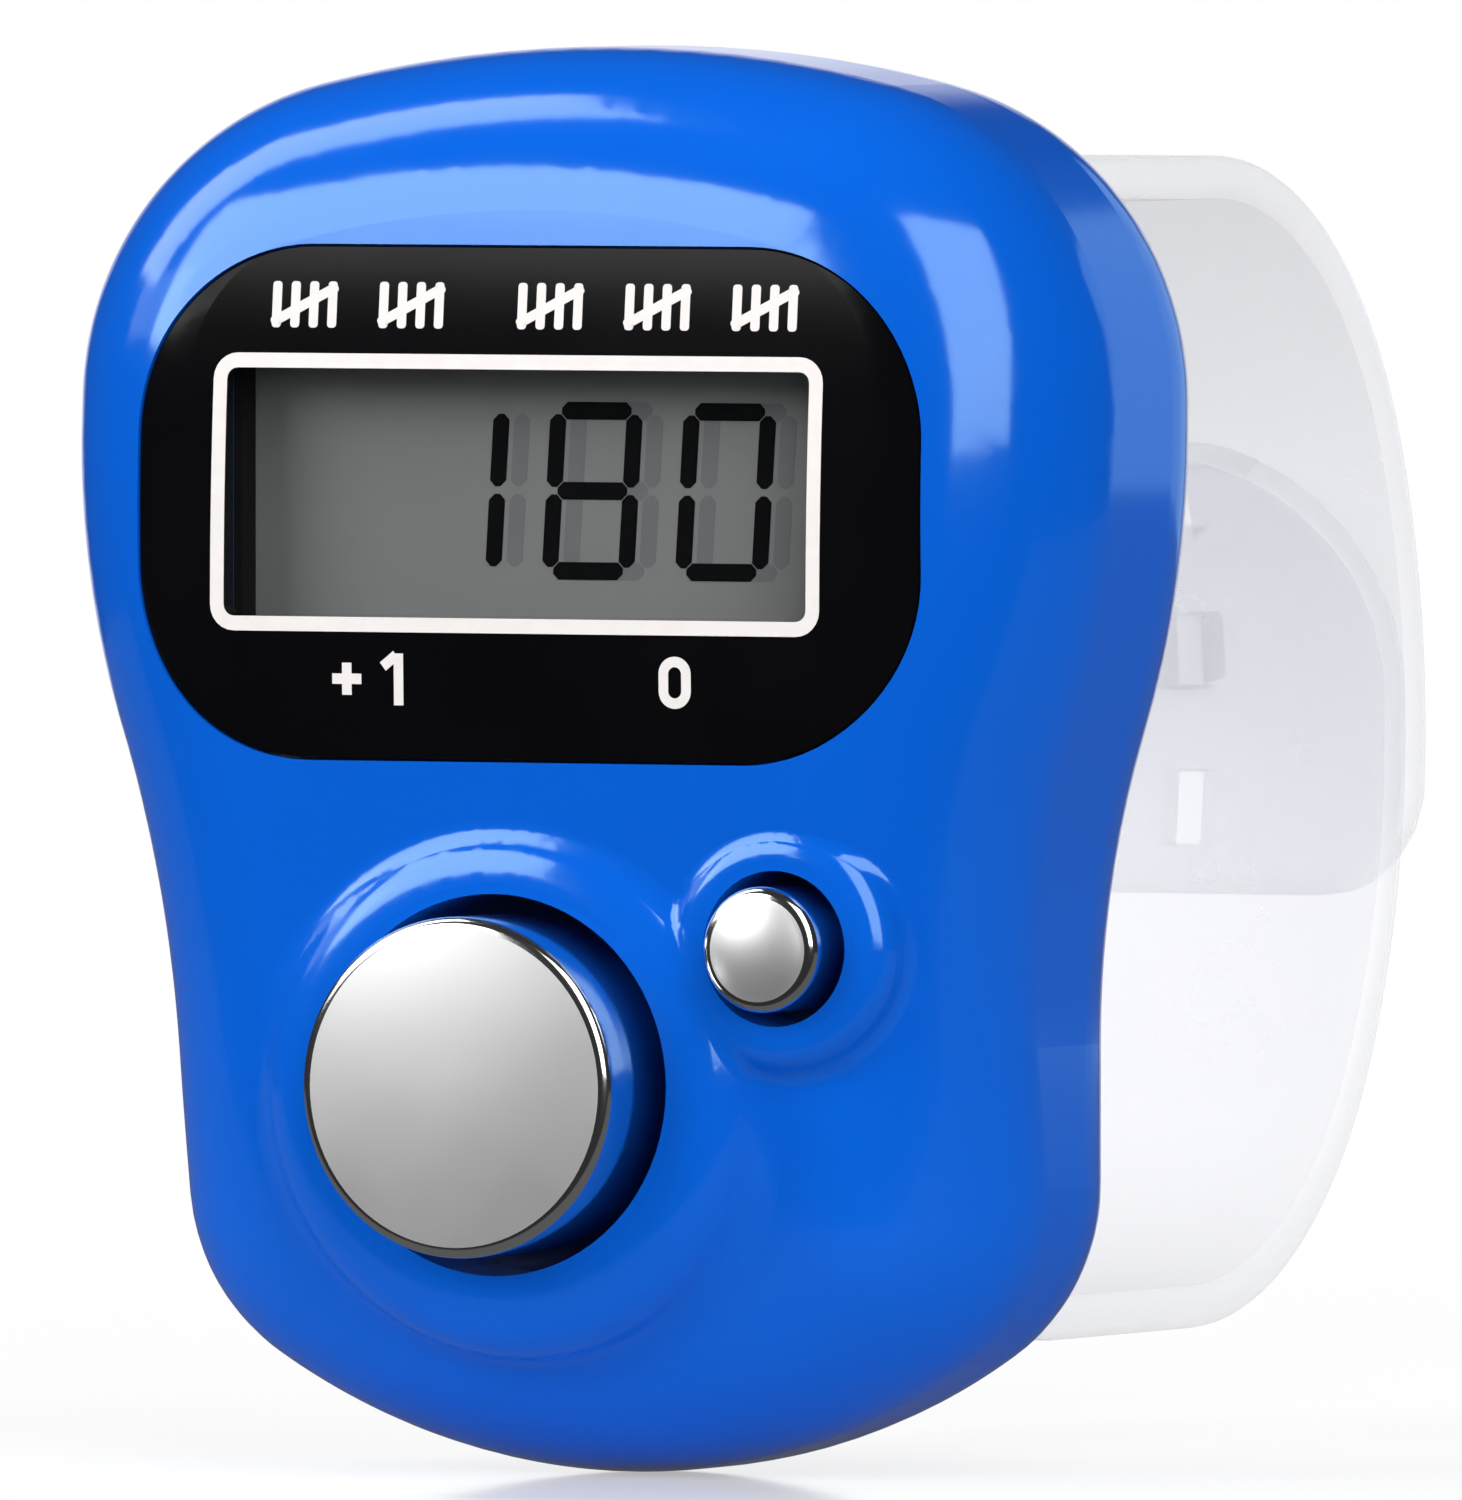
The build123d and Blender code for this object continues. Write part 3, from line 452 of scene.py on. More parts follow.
class COUNTER_OT_print(bpy.types.Operator):
    """Print the line round the window and the marks above and below it"""

    bl_idname = "counter.print"
    bl_label = "Printing"

    def execute(self, context):
        sizes = context.scene.counter_print
        # Pad-printed ink: opaque warm white, slightly uneven cover, satin
        ink = finish(
            "Pad printed white ink", context.scene.counter_finish.print_white, uneven=0.05, uneven_mm=0.5,
            grain_mm=0.12, grain_depth_mm=0.003, Roughness=0.45,
        )
        line = bmesh.new()
        bar(line, sizes.line_length, sizes.line_height, 0, sizes.line_x, sizes.line_z, sizes.line_corner, 6)
        hollow(line, sizes.line_width)
        long_edges = [edge for edge in line.edges if edge.calc_length() > 2 * MM]
        bmesh.ops.subdivide_edges(line, edges=long_edges, cuts=7, use_grid_fill=True)
        printed("window_line", line, ink, sizes)

        tally = bmesh.new()
        stroke = sizes.tally_width
        step = 2.05 * stroke
        soft_end = 0.35 * stroke
        slash_length = sizes.tally_height * 1.75
        for group_mm in TALLY_GROUPS_MM:
            for place in range(4):
                across = group_mm * MM + (place - 1.5) * step
                bar(tally, sizes.tally_height, stroke, pi / 2, across, sizes.tally_z, soft_end, 3)
            bar(tally, slash_length, stroke, sizes.tally_lean, group_mm * MM, sizes.tally_z, soft_end, 3)
        printed("tally_strokes", tally, ink, sizes)

        marks = bmesh.new()
        tall = sizes.mark_height
        pen = tall * 0.2
        # A plus and a one above the count button
        plus_span = tall * 0.62
        arm = (plus_span - pen) / 2
        bar(marks, plus_span, pen, 0, sizes.plus_x, sizes.mark_z)
        for side in (-1, 1):
            bar(marks, arm, pen, pi / 2, sizes.plus_x, sizes.mark_z + side * (arm + pen) / 2)
        flag_length = tall * 0.36
        flag_lean = radians(38)
        bar(marks, tall, pen, pi / 2, sizes.one_x, sizes.mark_z)
        bar(marks, flag_length, pen, flag_lean, sizes.one_x - pen * 0.95, sizes.mark_z + tall * 0.355)
        # A nought above the reset button
        nought = bmesh.new()
        bar(nought, tall * 0.68, tall, 0, sizes.nought_x, sizes.mark_z, tall * 0.335, 10)
        hollow(nought, pen)
        printed("nought_mark", nought, ink, sizes)
        printed("plus_one_mark", marks, ink, sizes)
        return {"FINISHED"}


# Segments that each digit lights, by their usual letters
LIT = {
    "0": "abcdef", "1": "bc", "2": "abdeg", "3": "abcdg", "4": "bcfg", "5": "acdfg", "6": "acdefg",
    "7": "abc", "8": "abcdefg", "9": "abcdfg",
}


def digit_segments(sizes, shift):
    """Flat segments of the shown number, leaning and moved aside by a shift."""
    bm = bmesh.new()
    reach = sizes.digit_width / 2 - sizes.digit_stroke / 2
    rise = sizes.digit_height / 2 - sizes.digit_stroke / 2
    across = 2 * reach - 2 * sizes.digit_gap
    upright = rise - 2 * sizes.digit_gap
    places = {
        "a": (across, 0, 0, rise),
        "b": (upright, pi / 2, reach, rise / 2),
        "c": (upright, pi / 2, reach, -rise / 2),
        "d": (across, 0, 0, -rise),
        "e": (upright, pi / 2, -reach, -rise / 2),
        "f": (upright, pi / 2, -reach, rise / 2),
        "g": (across, 0, 0, 0),
    }
    for place, digit in enumerate(reversed(sizes.digits)):
        middle = sizes.digit_last_x - place * sizes.digit_pitch
        for name in LIT[digit]:
            length, turn, x, z = places[name]
            bar(bm, length, sizes.digit_stroke, turn, middle + x, z, sizes.digit_stroke * 0.34)
    for vert in bm.verts:
        vert.co.x += vert.co.z * tan(sizes.digit_slant) + shift
        vert.co.z += sizes.digit_z
    return bm


class COUNTER_OT_display(bpy.types.Operator):
    """Finish the display's layers and draw its digits and their painted shadow"""

    bl_idname = "counter.display"
    bl_label = "Display"

    def execute(self, context):
        colours = context.scene.counter_finish
        sizes = context.scene.counter_print
        # Polariser film over the cell: neutral grey, matt, with a fine even tooth
        film = finish(
            "Matt polariser film", colours.film_grey, uneven=0.04, uneven_mm=7, grain_mm=0.1,
            grain_depth_mm=0.002, wear=0.15, Roughness=0.5,
        )
        dress(film, "front_polariser")
        # Thin soda-lime glass: greenish, glossy, mostly see-through
        glass = finish("Soda lime glass", "#DDEBE4", uneven=0.02, Roughness=0.05, IOR=1.52, Alpha=0.25)
        dress(glass, "front_glass", "rear_glass")
        # Aluminised foil behind the cell: grey, softly scattering
        foil = finish(
            "Aluminised reflector foil", "#A9ABAA", uneven=0.05, uneven_mm=2, grain_mm=0.1,
            grain_depth_mm=0.004, Metallic=0.7, Roughness=0.5,
        )
        dress(foil, "reflector")
        # Liquid crystal segments: flat black with sharp edges
        dark = finish(
            "Driven segment", colours.segment_black, uneven=0.1, uneven_mm=1, wear=0.1, Roughness=0.6,
            **{"Specular IOR Level": 0.05},
        )
        # Painted shadow of the segments, standing in for the shade they throw on the reflector foil: a sheet
        # a little darker than the film, soft
        shade = finish(
            "Painted segment shadow", colours.painted_segment_shadow, uneven=0.06, uneven_mm=1, wear=0.1, Roughness=0.55
        )
        level = -FILM_LOW.y
        # Painted shadow: the segments shifted aside and laid on the film in a darker grey, under the segments
        # themselves
        under = digit_segments(sizes, sizes.shade_shift)
        thicken(under, level, sizes.shade_thickness)
        new_piece("painted_segment_shadow", under, shade, "case")
        over = digit_segments(sizes, 0)
        thicken(over, level, sizes.segment_thickness)
        new_piece("display_segments", over, dark, "case")
        return {"FINISHED"}


# Steps along a cap's crowned face and round its rim
FACE_STEPS = 12
EDGE_STEPS = 6


class COUNTER_OT_caps(bpy.types.Operator):
    """Turn the two chromed button caps"""

    bl_idname = "counter.caps"
    bl_label = "Button caps"

    def execute(self, context):
        # Thin chrome over a satin-moulded face: broad soft reflections, very fine tooth and a
        # little scattered light from the tooth
        satin = finish(
            "Satin chrome plating", context.scene.counter_finish.chrome_grey, uneven=0.03, uneven_mm=3,
            grain_mm=0.12, grain_depth_mm=0.0015, wear=0.12, Metallic=0.86, Roughness=0.46,
        )
        # Chrome over the polished rim and side: a clear mirror with faint handling marks
        bright = finish(
            "Bright chrome plating", context.scene.counter_finish.chrome_grey, uneven=0.02, uneven_mm=2,
            grain_mm=0.8, grain_depth_mm=0.001, wear=0.3, Metallic=1.0, Roughness=0.13,
        )
        # Moulded root of the cap, deep in the well: painted shade, dark blue like the shade in the well, half
        # gloss
        painted_shade_root = finish(
            "Moulded ABS in painted well shade", "#0B2C70", uneven=0.1, uneven_mm=1, grain_mm=0.3, grain_depth_mm=0.004,
            Roughness=0.4, **{"Specular IOR Level": 0.25},
        )
        sizes = context.scene.counter_caps
        for node, body, radius in (
            ("count_button", "count_key", sizes.count_radius),
            ("reset_button", "reset_key", sizes.reset_radius),
        ):
            low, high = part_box(node)
            x, z = (low.x + high.x) / 2, (low.z + high.z) / 2
            flange = (high.x - low.x) / 2
            crown = -low.y
            rim = crown - sizes.crown
            foot = -high.y
            shelf = foot + sizes.flange_thickness
            edge = sizes.edge
            # Crowned face, rounded rim, side wall, flange, and the hollow with its stem
            ball = ((radius - edge) ** 2 + sizes.crown**2) / (2 * sizes.crown)
            profile = [(0.0, crown)]
            for step in range(FACE_STEPS):
                reach = (radius - edge) * (step + 1) / FACE_STEPS
                profile.append((reach, crown - ball + sqrt(ball**2 - reach**2)))
            for step in range(EDGE_STEPS):
                turn = pi / 2 * (step + 1) / EDGE_STEPS
                profile.append((radius - edge + edge * sin(turn), rim - edge + edge * cos(turn)))
            lip = sizes.flange_lip
            core = radius - sizes.wall
            stem = sizes.count_stem if node == "count_button" else sizes.reset_stem
            ceiling = rim - sizes.wall
            profile += [
                (radius, shelf + 2 * lip), (radius, shelf), (flange - lip, shelf), (flange, shelf - lip),
                (flange, foot), (core, foot), (core, ceiling), (stem, ceiling), (stem, foot), (0.0, foot),
            ]
            cap = bmesh.new()
            spun(cap, profile, x, z)
            for face in cap.faces:
                middle = face.calc_center_median()
                out = hypot(middle.x - x, middle.z - z)
                # Faces at and below the flange take the painted well shade, and the rim and side take the
                # bright chrome
                if -middle.y < shelf + lip:
                    face.material_index = 2
                elif out > radius - edge:
                    face.material_index = 1
            piece = new_piece(node + "_cap", cap, satin, body, smooth=35)
            piece.data.materials.append(bright)
            piece.data.materials.append(painted_shade_root)
            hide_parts(node)
        return {"FINISHED"}


# Angle in degrees up to which the strap is smooth
STRAP_SMOOTH = 50
# Distances from a tongue's tip at which its sweep stops, closer where the tip is rounder
TIP_STATIONS_MM = (0.0, 0.04, 0.12, 0.22, 0.36, 0.7, 1.2, 1.9, 2.8, 3.8, 5.0, 6.4)


def strap_half(bm, sizes, side, rear_radius, tip, tip_corner):
    """Sweep one tongue of the strap, above (side 1) or below (side -1) the middle."""
    others = set(bm.verts)
    mid_y = sizes.play + sizes.thickness / 2 - sizes.reach / 2
    rear_y = sizes.reach / 2 - sizes.thickness / 2 - sizes.rear_radius
    # Rounded section, lying across the back of the case
    made = bmesh.ops.create_grid(bm, x_segments=1, y_segments=1, size=0.5)["verts"]
    bmesh.ops.scale(bm, vec=(sizes.width, sizes.thickness, 1), verts=made)
    bevel(bm, made, sizes.rim, 4, "VERTICES")
    section = [vert for vert in bm.verts if vert not in others]
    bmesh.ops.translate(bm, vec=(0, mid_y, 0), verts=section)
    faces = list({face for vert in section for face in vert.link_faces})
    ring = section + list({edge for vert in section for edge in vert.link_edges})
    bmesh.ops.delete(bm, geom=faces, context="FACES_ONLY")
    # The corner arc touches the straight run and, from inside, the rear arc
    leave = sizes.leave_angle
    along = Vector((0, sin(leave), cos(leave)))
    inward = Vector((0, cos(leave), -sin(leave)))
    leave_end = Vector((0, mid_y, sizes.flat / 2))
    leave_end += Vector((0, 1 - cos(leave), sin(leave))) * sizes.leave_radius
    reach = leave_end + inward * sizes.corner_radius - Vector((0, rear_y, 0))
    ahead = reach.dot(along)
    run = sqrt(ahead**2 - reach.length_squared + (rear_radius - sizes.corner_radius) ** 2) - ahead
    corner = reach + along * run
    rear_turn = atan2(corner.z, corner.y)
    tip_turn = asin(side * tip / rear_radius)
    stations = [mm * MM for mm in TIP_STATIONS_MM if mm * MM < tip_corner] + [tip_corner]
    # Each move has a radius, or 0 for a straight run, a turn or a length, and a number of steps
    moves = [(0.0, sizes.flat / 2, 4), (sizes.leave_radius, leave, 12), (0.0, run, 4)]
    moves += [(sizes.corner_radius, pi - rear_turn - leave, 30)]
    moves += [(rear_radius, rear_turn - tip_turn - tip_corner / rear_radius, 24)]
    moves += [(rear_radius, (b - a) / rear_radius, 1) for a, b in reversed(list(zip(stations, stations[1:])))]
    place = Vector((0, mid_y, 0))
    heading = Vector((0, 0, side))
    for radius, amount, steps in moves:
        if radius:
            centre = place + Vector((0, side * heading.z, -side * heading.y)) * radius
            spin = Matrix.Rotation(-side * amount, 3, "X")
            swept = bmesh.ops.spin(
                bm, geom=ring, cent=centre, axis=(1, 0, 0), angle=-side * amount, steps=steps
            )
            place = centre + spin @ (place - centre)
            heading = spin @ heading
        else:
            swept = bmesh.ops.spin(
                bm, geom=ring, cent=place, axis=(1, 0, 0), dvec=heading * amount / steps, angle=0, steps=steps
            )
            place = place + heading * amount
        ring = swept["geom_last"]
    # Round the tip in plan and thin its edge
    middle = Vector((0, rear_y, 0))
    for vert in bm.verts:
        if vert in others or vert.co.y < 0:
            continue
        arm = vert.co - middle
        turn = atan2(arm.z, arm.y)
        gone = rear_radius * (side * turn - tip_turn)
        if gone < tip_corner - 1e-7:
            gone = max(gone, 0.0)
            half = sizes.width / 2 - tip_corner + sqrt(max(0.0, tip_corner**2 - (tip_corner - gone) ** 2))
            vert.co.x *= max(half, sizes.tip_point) / (sizes.width / 2)
        if gone < sizes.rim:
            thin = max(sizes.tip_thin, sqrt(max(0.0, 1 - (1 - gone / sizes.rim) ** 2)))
            flat_arm = Vector((0, arm.y, arm.z))
            target = rear_radius + (flat_arm.length - rear_radius) * thin
            moved = middle + flat_arm.normalized() * target
            vert.co.y, vert.co.z = moved.y, moved.z


def block(bm, dims, edge, turn, rear_y, radius):
    """A block that stands square on the rear of the strap, at a turn from level."""
    others = set(bm.verts)
    made = bmesh.ops.create_cube(bm, size=1)["verts"]
    bmesh.ops.scale(bm, vec=dims, verts=made)
    if edge:
        edges = list({e for vert in made for e in vert.link_edges})
        bevel(bm, edges, edge, 2, "EDGES")
    made = [vert for vert in bm.verts if vert not in others]
    swing = Matrix.Translation((0, rear_y, 0)) @ Matrix.Rotation(turn, 4, "X")
    stand = swing @ Matrix.Translation((0, radius, 0))
    bmesh.ops.transform(bm, matrix=stand, verts=made)


class COUNTER_OT_strap(bpy.types.Operator):
    """Mould the clear finger strap with its holes and its peg"""

    bl_idname = "counter.strap"
    bl_label = "Finger strap"

    def execute(self, context):
        # Frosted soft PVC: nearly clear, milky where light passes along it, satin skin
        pvc = finish(
            "Frosted clear PVC", context.scene.counter_finish.strap_clear, uneven=0.02, uneven_mm=5,
            grain_mm=0.3, grain_depth_mm=0.004, Roughness=0.42, IOR=1.45, Alpha=0.3,
        )
        # Painted highlight: the strap's rims get a whiter copy of the strap's material, standing in for the
        # light they gather
        painted_rim_highlight = finish(
            "PVC rim with painted highlight", "#FBFBFD", uneven=0.01, uneven_mm=4, grain_mm=0.3,
            grain_depth_mm=0.002, Roughness=0.3, IOR=1.45, Alpha=0.22,
        )
        sizes = context.scene.counter_strap
        bm = bmesh.new()
        inner_radius = sizes.rear_radius - sizes.thickness - sizes.play
        strap_half(bm, sizes, 1, sizes.rear_radius, sizes.upper_tip, sizes.upper_tip_corner)
        strap_half(bm, sizes, -1, inner_radius, sizes.lower_tip, sizes.width / 2 - sizes.play)
        bmesh.ops.remove_doubles(bm, verts=bm.verts, dist=0.001 * MM)
        bmesh.ops.holes_fill(bm, edges=[edge for edge in bm.edges if edge.is_boundary])
        bmesh.ops.recalc_face_normals(bm, faces=bm.faces)
        rear_y = sizes.reach / 2 - sizes.thickness / 2 - sizes.rear_radius
        turns = [
            asin(sizes.first_hole / sizes.rear_radius) - place * sizes.hole_pitch / sizes.rear_radius
            for place in range(sizes.hole_count)
        ]
        # The side faces of the strap take the painted highlight
        for face in bm.faces:
            if abs(face.normal.x) > 0.3 and abs(face.calc_center_median().x) > sizes.width / 4:
                face.material_index = 1
        strap = new_piece("clear_strap", bm, pvc, "case", smooth=STRAP_SMOOTH)
        strap.data.materials.append(painted_rim_highlight)
        # The adjusting holes are cut through the outer tongue only
        cutters = bmesh.new()
        cut_depth = 2 * sizes.thickness
        middle = sizes.rear_radius - sizes.thickness / 2 - sizes.play / 2 + cut_depth / 2
        for turn in turns:
            block(cutters, (sizes.hole_width, cut_depth, sizes.hole_length), 0.0, turn, rear_y, middle)
        tool = new_object("hole_cutters", cutters)
        cut = strap.modifiers.new("holes", "BOOLEAN")
        cut.operation = "DIFFERENCE"
        cut.solver = "EXACT"
        cut.object = tool
        context.view_layer.update()
        strap.data = bpy.data.meshes.new_from_object(strap.evaluated_get(context.evaluated_depsgraph_get()))
        strap.modifiers.clear()
        bpy.data.objects.remove(tool)
        # Peg of the inner tongue, standing through its hole
        bm = bmesh.new()
        bm.from_mesh(strap.data)
        depth = sizes.rear_radius + sizes.thickness / 2 + sizes.peg_rise - inner_radius
        block(
            bm, (sizes.hole_width - 2 * sizes.peg_play, depth, sizes.hole_length - 2 * sizes.peg_play),
            sizes.peg_edge, turns[sizes.peg_hole], rear_y, inner_radius + depth / 2,
        )
        bm.to_mesh(strap.data)
        bm.free()
        strap.data.shade_smooth()
        strap.data.set_sharp_from_angle(angle=radians(STRAP_SMOOTH))
        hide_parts("finger_strap")
        return {"FINISHED"}


class COUNTER_OT_insides(bpy.types.Operator):
    """Finish the parts inside the case"""

    bl_idname = "counter.insides"
    bl_label = "Insides"

    def execute(self, context):
        # Natural white ABS: chalky, satin
        white = finish(
            "White moulded ABS", "#E4E3DE", uneven=0.03, grain_mm=0.3, grain_depth_mm=0.005,
            Roughness=0.42, IOR=1.53,
        )
        dress(white, "display_holder", "cell_gasket")
        # Glass-epoxy laminate under green solder mask
        laminate = finish(
            "Green solder mask", "#1E5B34", uneven=0.12, uneven_mm=1.2, grain_mm=0.4, grain_depth_mm=0.01,
            Roughness=0.35,
        )
        dress(laminate, "circuit_board")
        # Poured epoxy blob: black, rounded, half gloss
        epoxy = finish(
            "Black potting epoxy", "#121214", uneven=0.2, uneven_mm=1, grain_mm=0.6, grain_depth_mm=0.02,
            wear=0.25, Roughness=0.32,
        )
        dress(epoxy, "controller_chip")
        # Fired ceramic bodies of the small parts: tan brown, dull
        ceramic = finish(
            "Fired ceramic", "#8A6F52", uneven=0.1, uneven_mm=0.4, grain_mm=0.1, grain_depth_mm=0.006,
            Roughness=0.55,
        )
        dress(ceramic, "board_capacitor", "board_resistors")
        # Gold flash over nickel: warm, bright, faintly streaked
        gold = finish(
            "Gold flashed copper", "#E2B75A", uneven=0.08, uneven_mm=0.6, grain_mm=0.15, grain_depth_mm=0.003,
            wear=0.25, Metallic=1.0, Roughness=0.3,
        )
        dress(gold, "contact_pads")
        # Translucent silicone rubber: milky, matt
        silicone = finish(
            "Milky silicone rubber", "#D9DCDD", uneven=0.04, uneven_mm=1.5, grain_mm=0.2,
            grain_depth_mm=0.006, wear=0.15, Roughness=0.55, IOR=1.41,
        )
        sizes = context.scene.counter_caps
        for node, joint, top in (
            ("count_dome", "count_press", sizes.count_dome_top),
            ("reset_dome", "reset_press", sizes.reset_dome_top),
        ):
            low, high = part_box(node)
            x, z = (low.x + high.x) / 2, (low.z + high.z) / 2
            skirt = (high.x - low.x) / 2
            radius = skirt - sizes.dome_skirt
            foot, crown = -high.y, -low.y
            pill = -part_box(node.replace("dome", "contact"))[0].y
            ceiling = pill + sizes.pill_play
            dome = bmesh.new()
            profile = [
                (0.0, ceiling), (top - sizes.dome_wall, ceiling), (radius - sizes.dome_wall, foot),
                (skirt, foot), (skirt, foot + sizes.dome_wall), (radius, foot + sizes.dome_wall),
                (top, ceiling + sizes.dome_wall), (top, crown), (0.0, crown),
            ]
            spun(dome, profile, x, z)
            inner = [edge for edge in dome.edges if not edge.is_boundary]
            sharp = [edge for edge in inner if edge.calc_face_angle() > radians(20)]
            bevel(dome, sharp, sizes.dome_edge, 3, "EDGES")
            piece = new_piece(node + "_rubber", dome, silicone, "case", smooth=40)
            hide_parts(node)
            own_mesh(piece)
        # Carbon-filled rubber: soft black
        carbon = finish(
            "Carbon filled rubber", "#1B1B1D", uneven=0.15, uneven_mm=0.5, grain_mm=0.12,
            grain_depth_mm=0.008, wear=0.15, Roughness=0.7,
        )
        dress(carbon, "count_contact", "reset_contact", "zebra_connector")
        # Nickel-plated steel: warm silver, drawn and lightly scuffed
        nickel = finish(
            "Nickel plated steel", "#C9C5BC", uneven=0.06, uneven_mm=1.5, grain_mm=0.25, grain_depth_mm=0.004,
            wear=0.3, Metallic=1.0, Roughness=0.26,
        )
        dress(nickel, "cell_can", "cell_cap", "battery_clip", "battery_leaf")
        return {"FINISHED"}


class COUNTER_OT_stage(bpy.types.Operator):
    """Set the floor, the lamps, the room light and the camera"""

    bl_idname = "counter.stage"
    bl_label = "Stage"

    def lamp(self, name, place, aim, width, height, watts, tone="#FFFFFF"):
        """A soft rectangular lamp that looks at a point."""
        light = bpy.data.lights.new(name, "AREA")
        light.shape = "RECTANGLE"
        light.size = width
        light.size_y = height
        light.energy = watts
        light.color = linear(tone)[:3]
        item = bpy.data.objects.new(name, light)
        item.location = place
        item.rotation_euler = (Vector(aim) - Vector(place)).to_track_quat("-Z", "Y").to_euler()
        item.visible_camera = False
        bpy.context.scene.collection.objects.link(item)

    def execute(self, context):
        scene = context.scene
        stage = scene.counter_stage
        middle = Vector((0, (CASE_LOW.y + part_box("rear_shell")[1].y) / 2, 0))
        scene.view_settings.view_transform = "Standard"

        # Seamless white paper that reads as white to the camera and keeps a soft shadow
        bm = bmesh.new()
        bmesh.ops.create_grid(bm, x_segments=2, y_segments=2, size=stage.paper_width / 2)
        paper_edge = CASE_LOW.y - stage.paper_front
        paper_place = (0, paper_edge + stage.paper_width / 2, CASE_LOW.z - stage.floor_drop)
        bmesh.ops.translate(bm, vec=paper_place, verts=bm.verts)
        floor = new_object("floor", bm)
        paper = bpy.data.materials.new("Seamless white paper")
        paper.use_nodes = True
        tree = paper.node_tree
        tree.nodes.clear()
        matt = add(
            tree, "ShaderNodeBsdfPrincipled",
            {"Base Color": linear("#F4F4F4"), "Roughness": 0.09, "IOR": 1.45},
        )
        path = add(tree, "ShaderNodeLightPath")
        dimmed = add(
            tree, "ShaderNodeMapRange",
            {"Value": path.outputs["Is Glossy Ray"], "To Min": 1.0, "To Max": stage.floor_gloss},
        )
        glow = add(tree, "ShaderNodeEmission", {"Color": (1, 1, 1, 1), "Strength": dimmed.outputs["Result"]})
        seen = add(
            tree, "ShaderNodeMath", {0: path.outputs["Is Camera Ray"], 1: path.outputs["Is Glossy Ray"]},
            operation="MAXIMUM",
        )
        shown = add(
            tree, "ShaderNodeMath", {0: seen.outputs[0], 1: path.outputs["Is Transmission Ray"]},
            operation="MAXIMUM",
        )
        place = add(tree, "ShaderNodeTexCoord").outputs["Object"]
        away = add(tree, "ShaderNodeVectorMath", {0: place}, operation="LENGTH")
        fade = add(tree, "ShaderNodeMapRange", {
            "Value": away.outputs["Value"], "From Min": stage.shade_near, "From Max": stage.shade_far,
            "To Min": stage.floor_white, "To Max": 1.0,
        })
        split = add(tree, "ShaderNodeSeparateXYZ", {"Vector": place})
        lip = add(tree, "ShaderNodeMapRange", {
            "Value": split.outputs["Y"], "From Min": paper_edge, "From Max": paper_edge + stage.paper_lip,
            "To Min": 1.0, "To Max": 0.0,
        })
        paler = add(
            tree, "ShaderNodeMath", {0: fade.outputs["Result"], 1: lip.outputs["Result"]}, operation="MAXIMUM"
        )
        evened = add(
            tree, "ShaderNodeMath", {0: paler.outputs[0], 1: path.outputs["Is Glossy Ray"]},
            operation="MAXIMUM",
        )
        white = add(
            tree, "ShaderNodeMath", {0: shown.outputs[0], 1: evened.outputs[0]}, operation="MULTIPLY"
        )
        blend = add(
            tree, "ShaderNodeMixShader",
            {0: white.outputs[0], 1: matt.outputs["BSDF"], 2: glow.outputs["Emission"]},
        )
        add(tree, "ShaderNodeOutputMaterial", {"Surface": blend.outputs[0]})
        floor.data.materials.append(paper)

        # Room: white to the camera, an even grey light on the object, and for reflections
        # a white backdrop behind the object in a dark studio
        world = bpy.data.worlds.new("Studio room")
        scene.world = world
        world.use_nodes = True
        tree = world.node_tree
        tree.nodes.clear()
        path = add(tree, "ShaderNodeLightPath")
        facing = add(tree, "ShaderNodeTexCoord").outputs["Generated"]
        beyond = (-sin(stage.azimuth), cos(stage.azimuth), 0)
        aside = add(tree, "ShaderNodeVectorMath", {0: facing, 1: beyond}, operation="DOT_PRODUCT")
        backdrop = add(tree, "ShaderNodeMapRange", {
            "Value": aside.outputs["Value"], "From Min": cos(stage.backdrop_rim),
            "From Max": cos(stage.backdrop_core), "To Min": stage.dark_studio, "To Max": 1.0,
        })
        lit = add(
            tree, "ShaderNodeMix",
            {"Factor": path.outputs["Is Glossy Ray"], "A": stage.room_light, "B": backdrop.outputs["Result"]},
        )
        seen = add(
            tree, "ShaderNodeMath",
            {0: path.outputs["Is Camera Ray"], 1: path.outputs["Is Transmission Ray"]}, operation="MAXIMUM",
        )
        strength = add(
            tree, "ShaderNodeMath", {0: seen.outputs[0], 1: lit.outputs["Result"]}, operation="MAXIMUM"
        )
        paint = add(tree, "ShaderNodeBackground", {"Color": (1, 1, 1, 1), "Strength": strength.outputs[0]})
        add(tree, "ShaderNodeOutputWorld", {"Surface": paint.outputs[0]})

        # Each lamp has its place, width, height and power, and all look at the object's middle
        self.lamp("key_softbox", (-0.26, -0.07, 0.26), middle, 0.12, 0.32, stage.key_power)
        self.lamp("front_softbox", (-0.23, -0.3, 0.172), middle, 0.26, 0.19, stage.front_power)
        self.lamp("side_softbox", (0.25, -0.25, 0.2), middle, 0.27, 0.4, stage.side_power)
        self.lamp("rear_softbox", (0.1, 0.34, 0.06), middle, 0.24, 0.22, stage.rear_power, "#B4DCFF")
        self.lamp("left_strip", (-0.33, -0.19, 0.12), middle, 0.22, 0.07, stage.left_power)

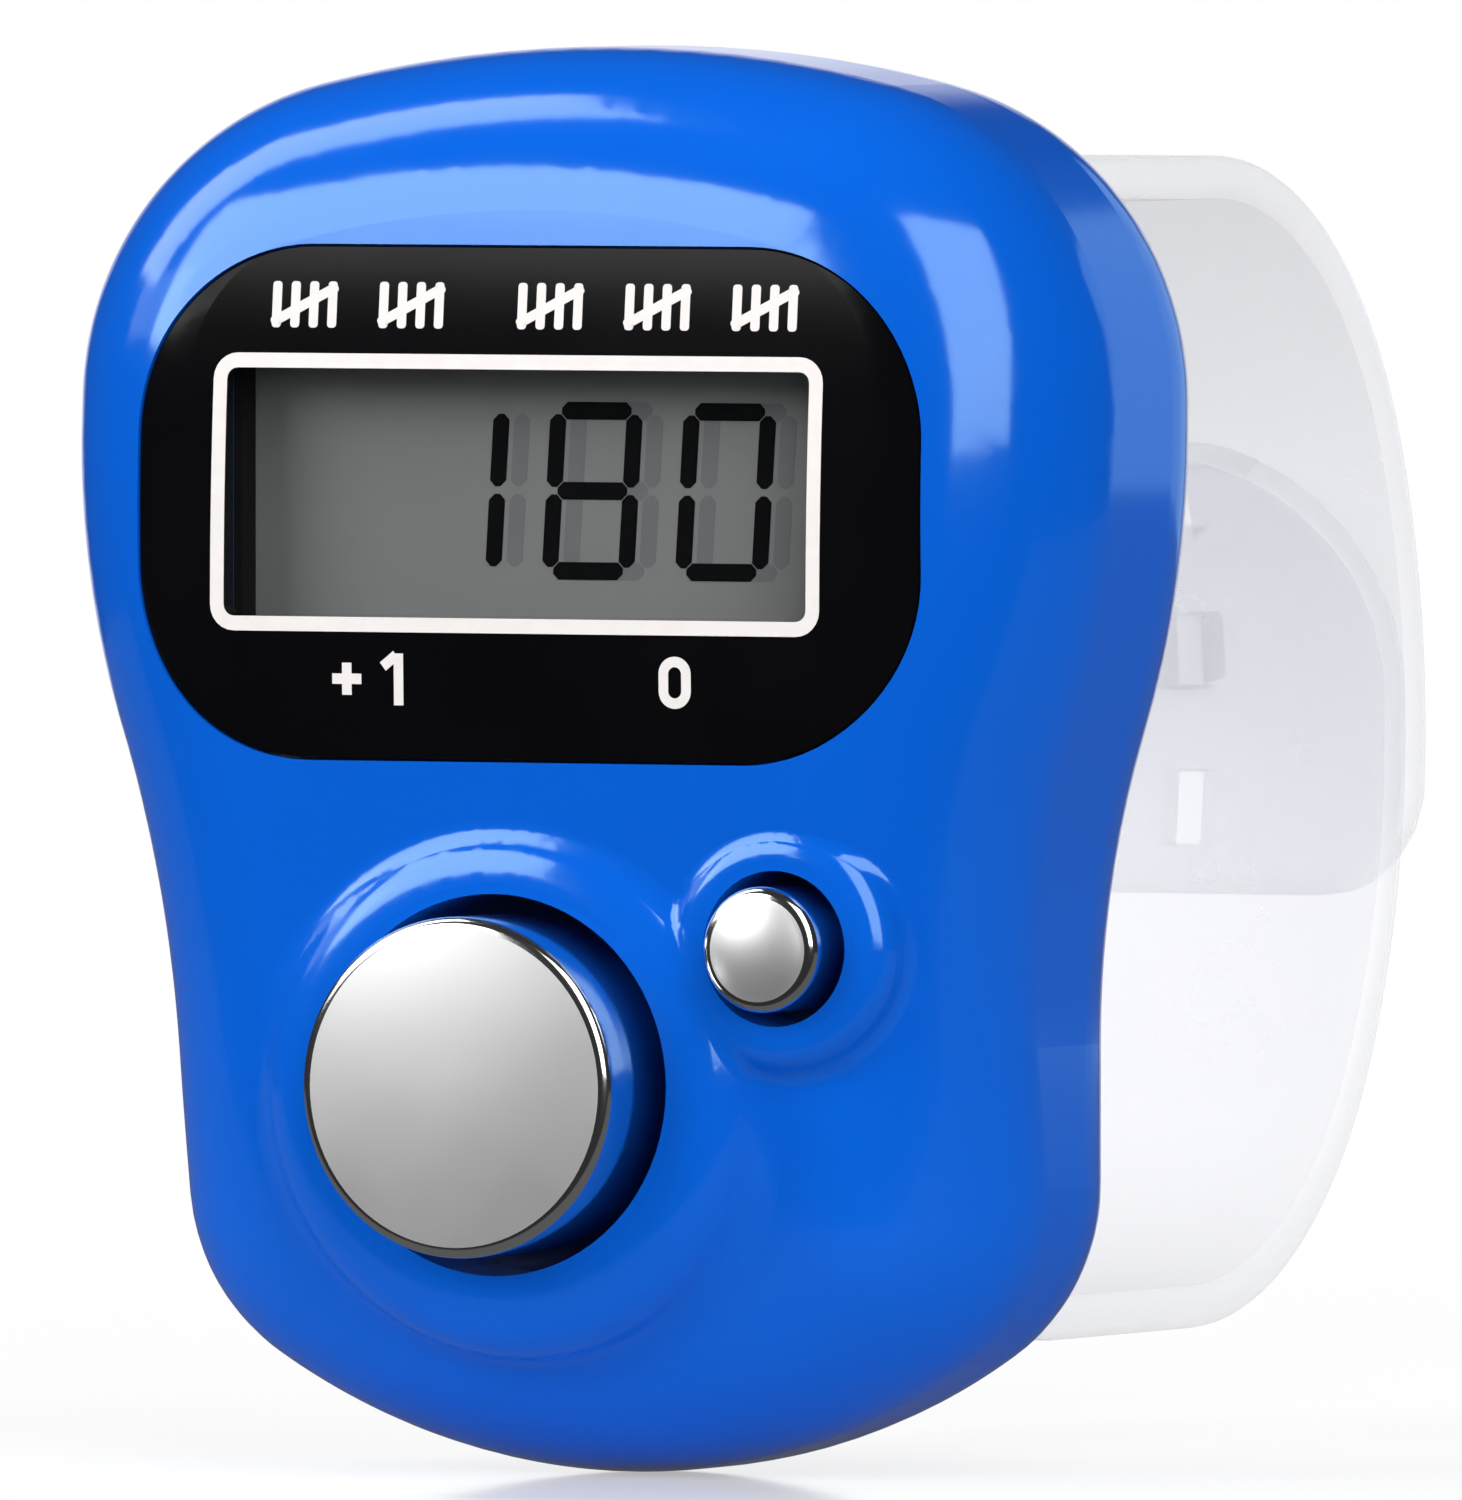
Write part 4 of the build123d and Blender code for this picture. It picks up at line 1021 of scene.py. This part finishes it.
        camera = bpy.data.cameras.new("photo_view")
        camera.sensor_fit = "HORIZONTAL"
        camera.lens = camera.sensor_width * stage.distance / stage.frame_width
        camera.clip_start = 0.01
        camera.clip_end = 20
        item = bpy.data.objects.new("photo_view", camera)
        turn, lift = stage.azimuth, stage.elevation
        right = Vector((cos(turn), sin(turn), 0))
        back = Vector((sin(turn) * cos(lift), -cos(turn) * cos(lift), sin(lift)))
        up = back.cross(right)
        item.location = middle + back * stage.distance + right * stage.aim_right + up * stage.aim_up
        item.rotation_euler = (-back).to_track_quat("-Z", "Y").to_euler()
        scene.collection.objects.link(item)
        scene.camera = item
        return {"FINISHED"}


class COUNTER_PT_panel(bpy.types.Panel):
    """Shows the counter's settings and operators in the sidebar"""

    bl_label = "Finger tally counter"
    bl_idname = "COUNTER_PT_panel"
    bl_space_type = "VIEW_3D"
    bl_region_type = "UI"
    bl_category = "Counter"

    def draw(self, context):
        for group in GROUPS:
            box = self.layout.box()
            settings = getattr(context.scene, GROUPS[group])
            for name in group.__annotations__:
                box.prop(settings, name)
        for operator in OPERATORS:
            self.layout.operator(operator.bl_idname)


GROUPS = {
    CounterFinish: "counter_finish",
    CounterPrint: "counter_print",
    CounterCaps: "counter_caps",
    CounterStrap: "counter_strap",
    CounterStage: "counter_stage",
}
OPERATORS = (
    COUNTER_OT_case,
    COUNTER_OT_panel,
    COUNTER_OT_print,
    COUNTER_OT_display,
    COUNTER_OT_caps,
    COUNTER_OT_strap,
    COUNTER_OT_insides,
    COUNTER_OT_stage,
)


def register():
    for group, name in GROUPS.items():
        bpy.utils.register_class(group)
        setattr(bpy.types.Scene, name, PointerProperty(type=group))
    for item in (*OPERATORS, COUNTER_PT_panel):
        bpy.utils.register_class(item)


def unregister():
    for item in (COUNTER_PT_panel, *reversed(OPERATORS)):
        bpy.utils.unregister_class(item)
    for group, name in GROUPS.items():
        delattr(bpy.types.Scene, name)
        bpy.utils.unregister_class(group)


def main():
    register()
    for operator in OPERATORS:
        group, name = operator.bl_idname.split(".")
        getattr(getattr(bpy.ops, group), name)()


if __name__ == "__main__":
    main()
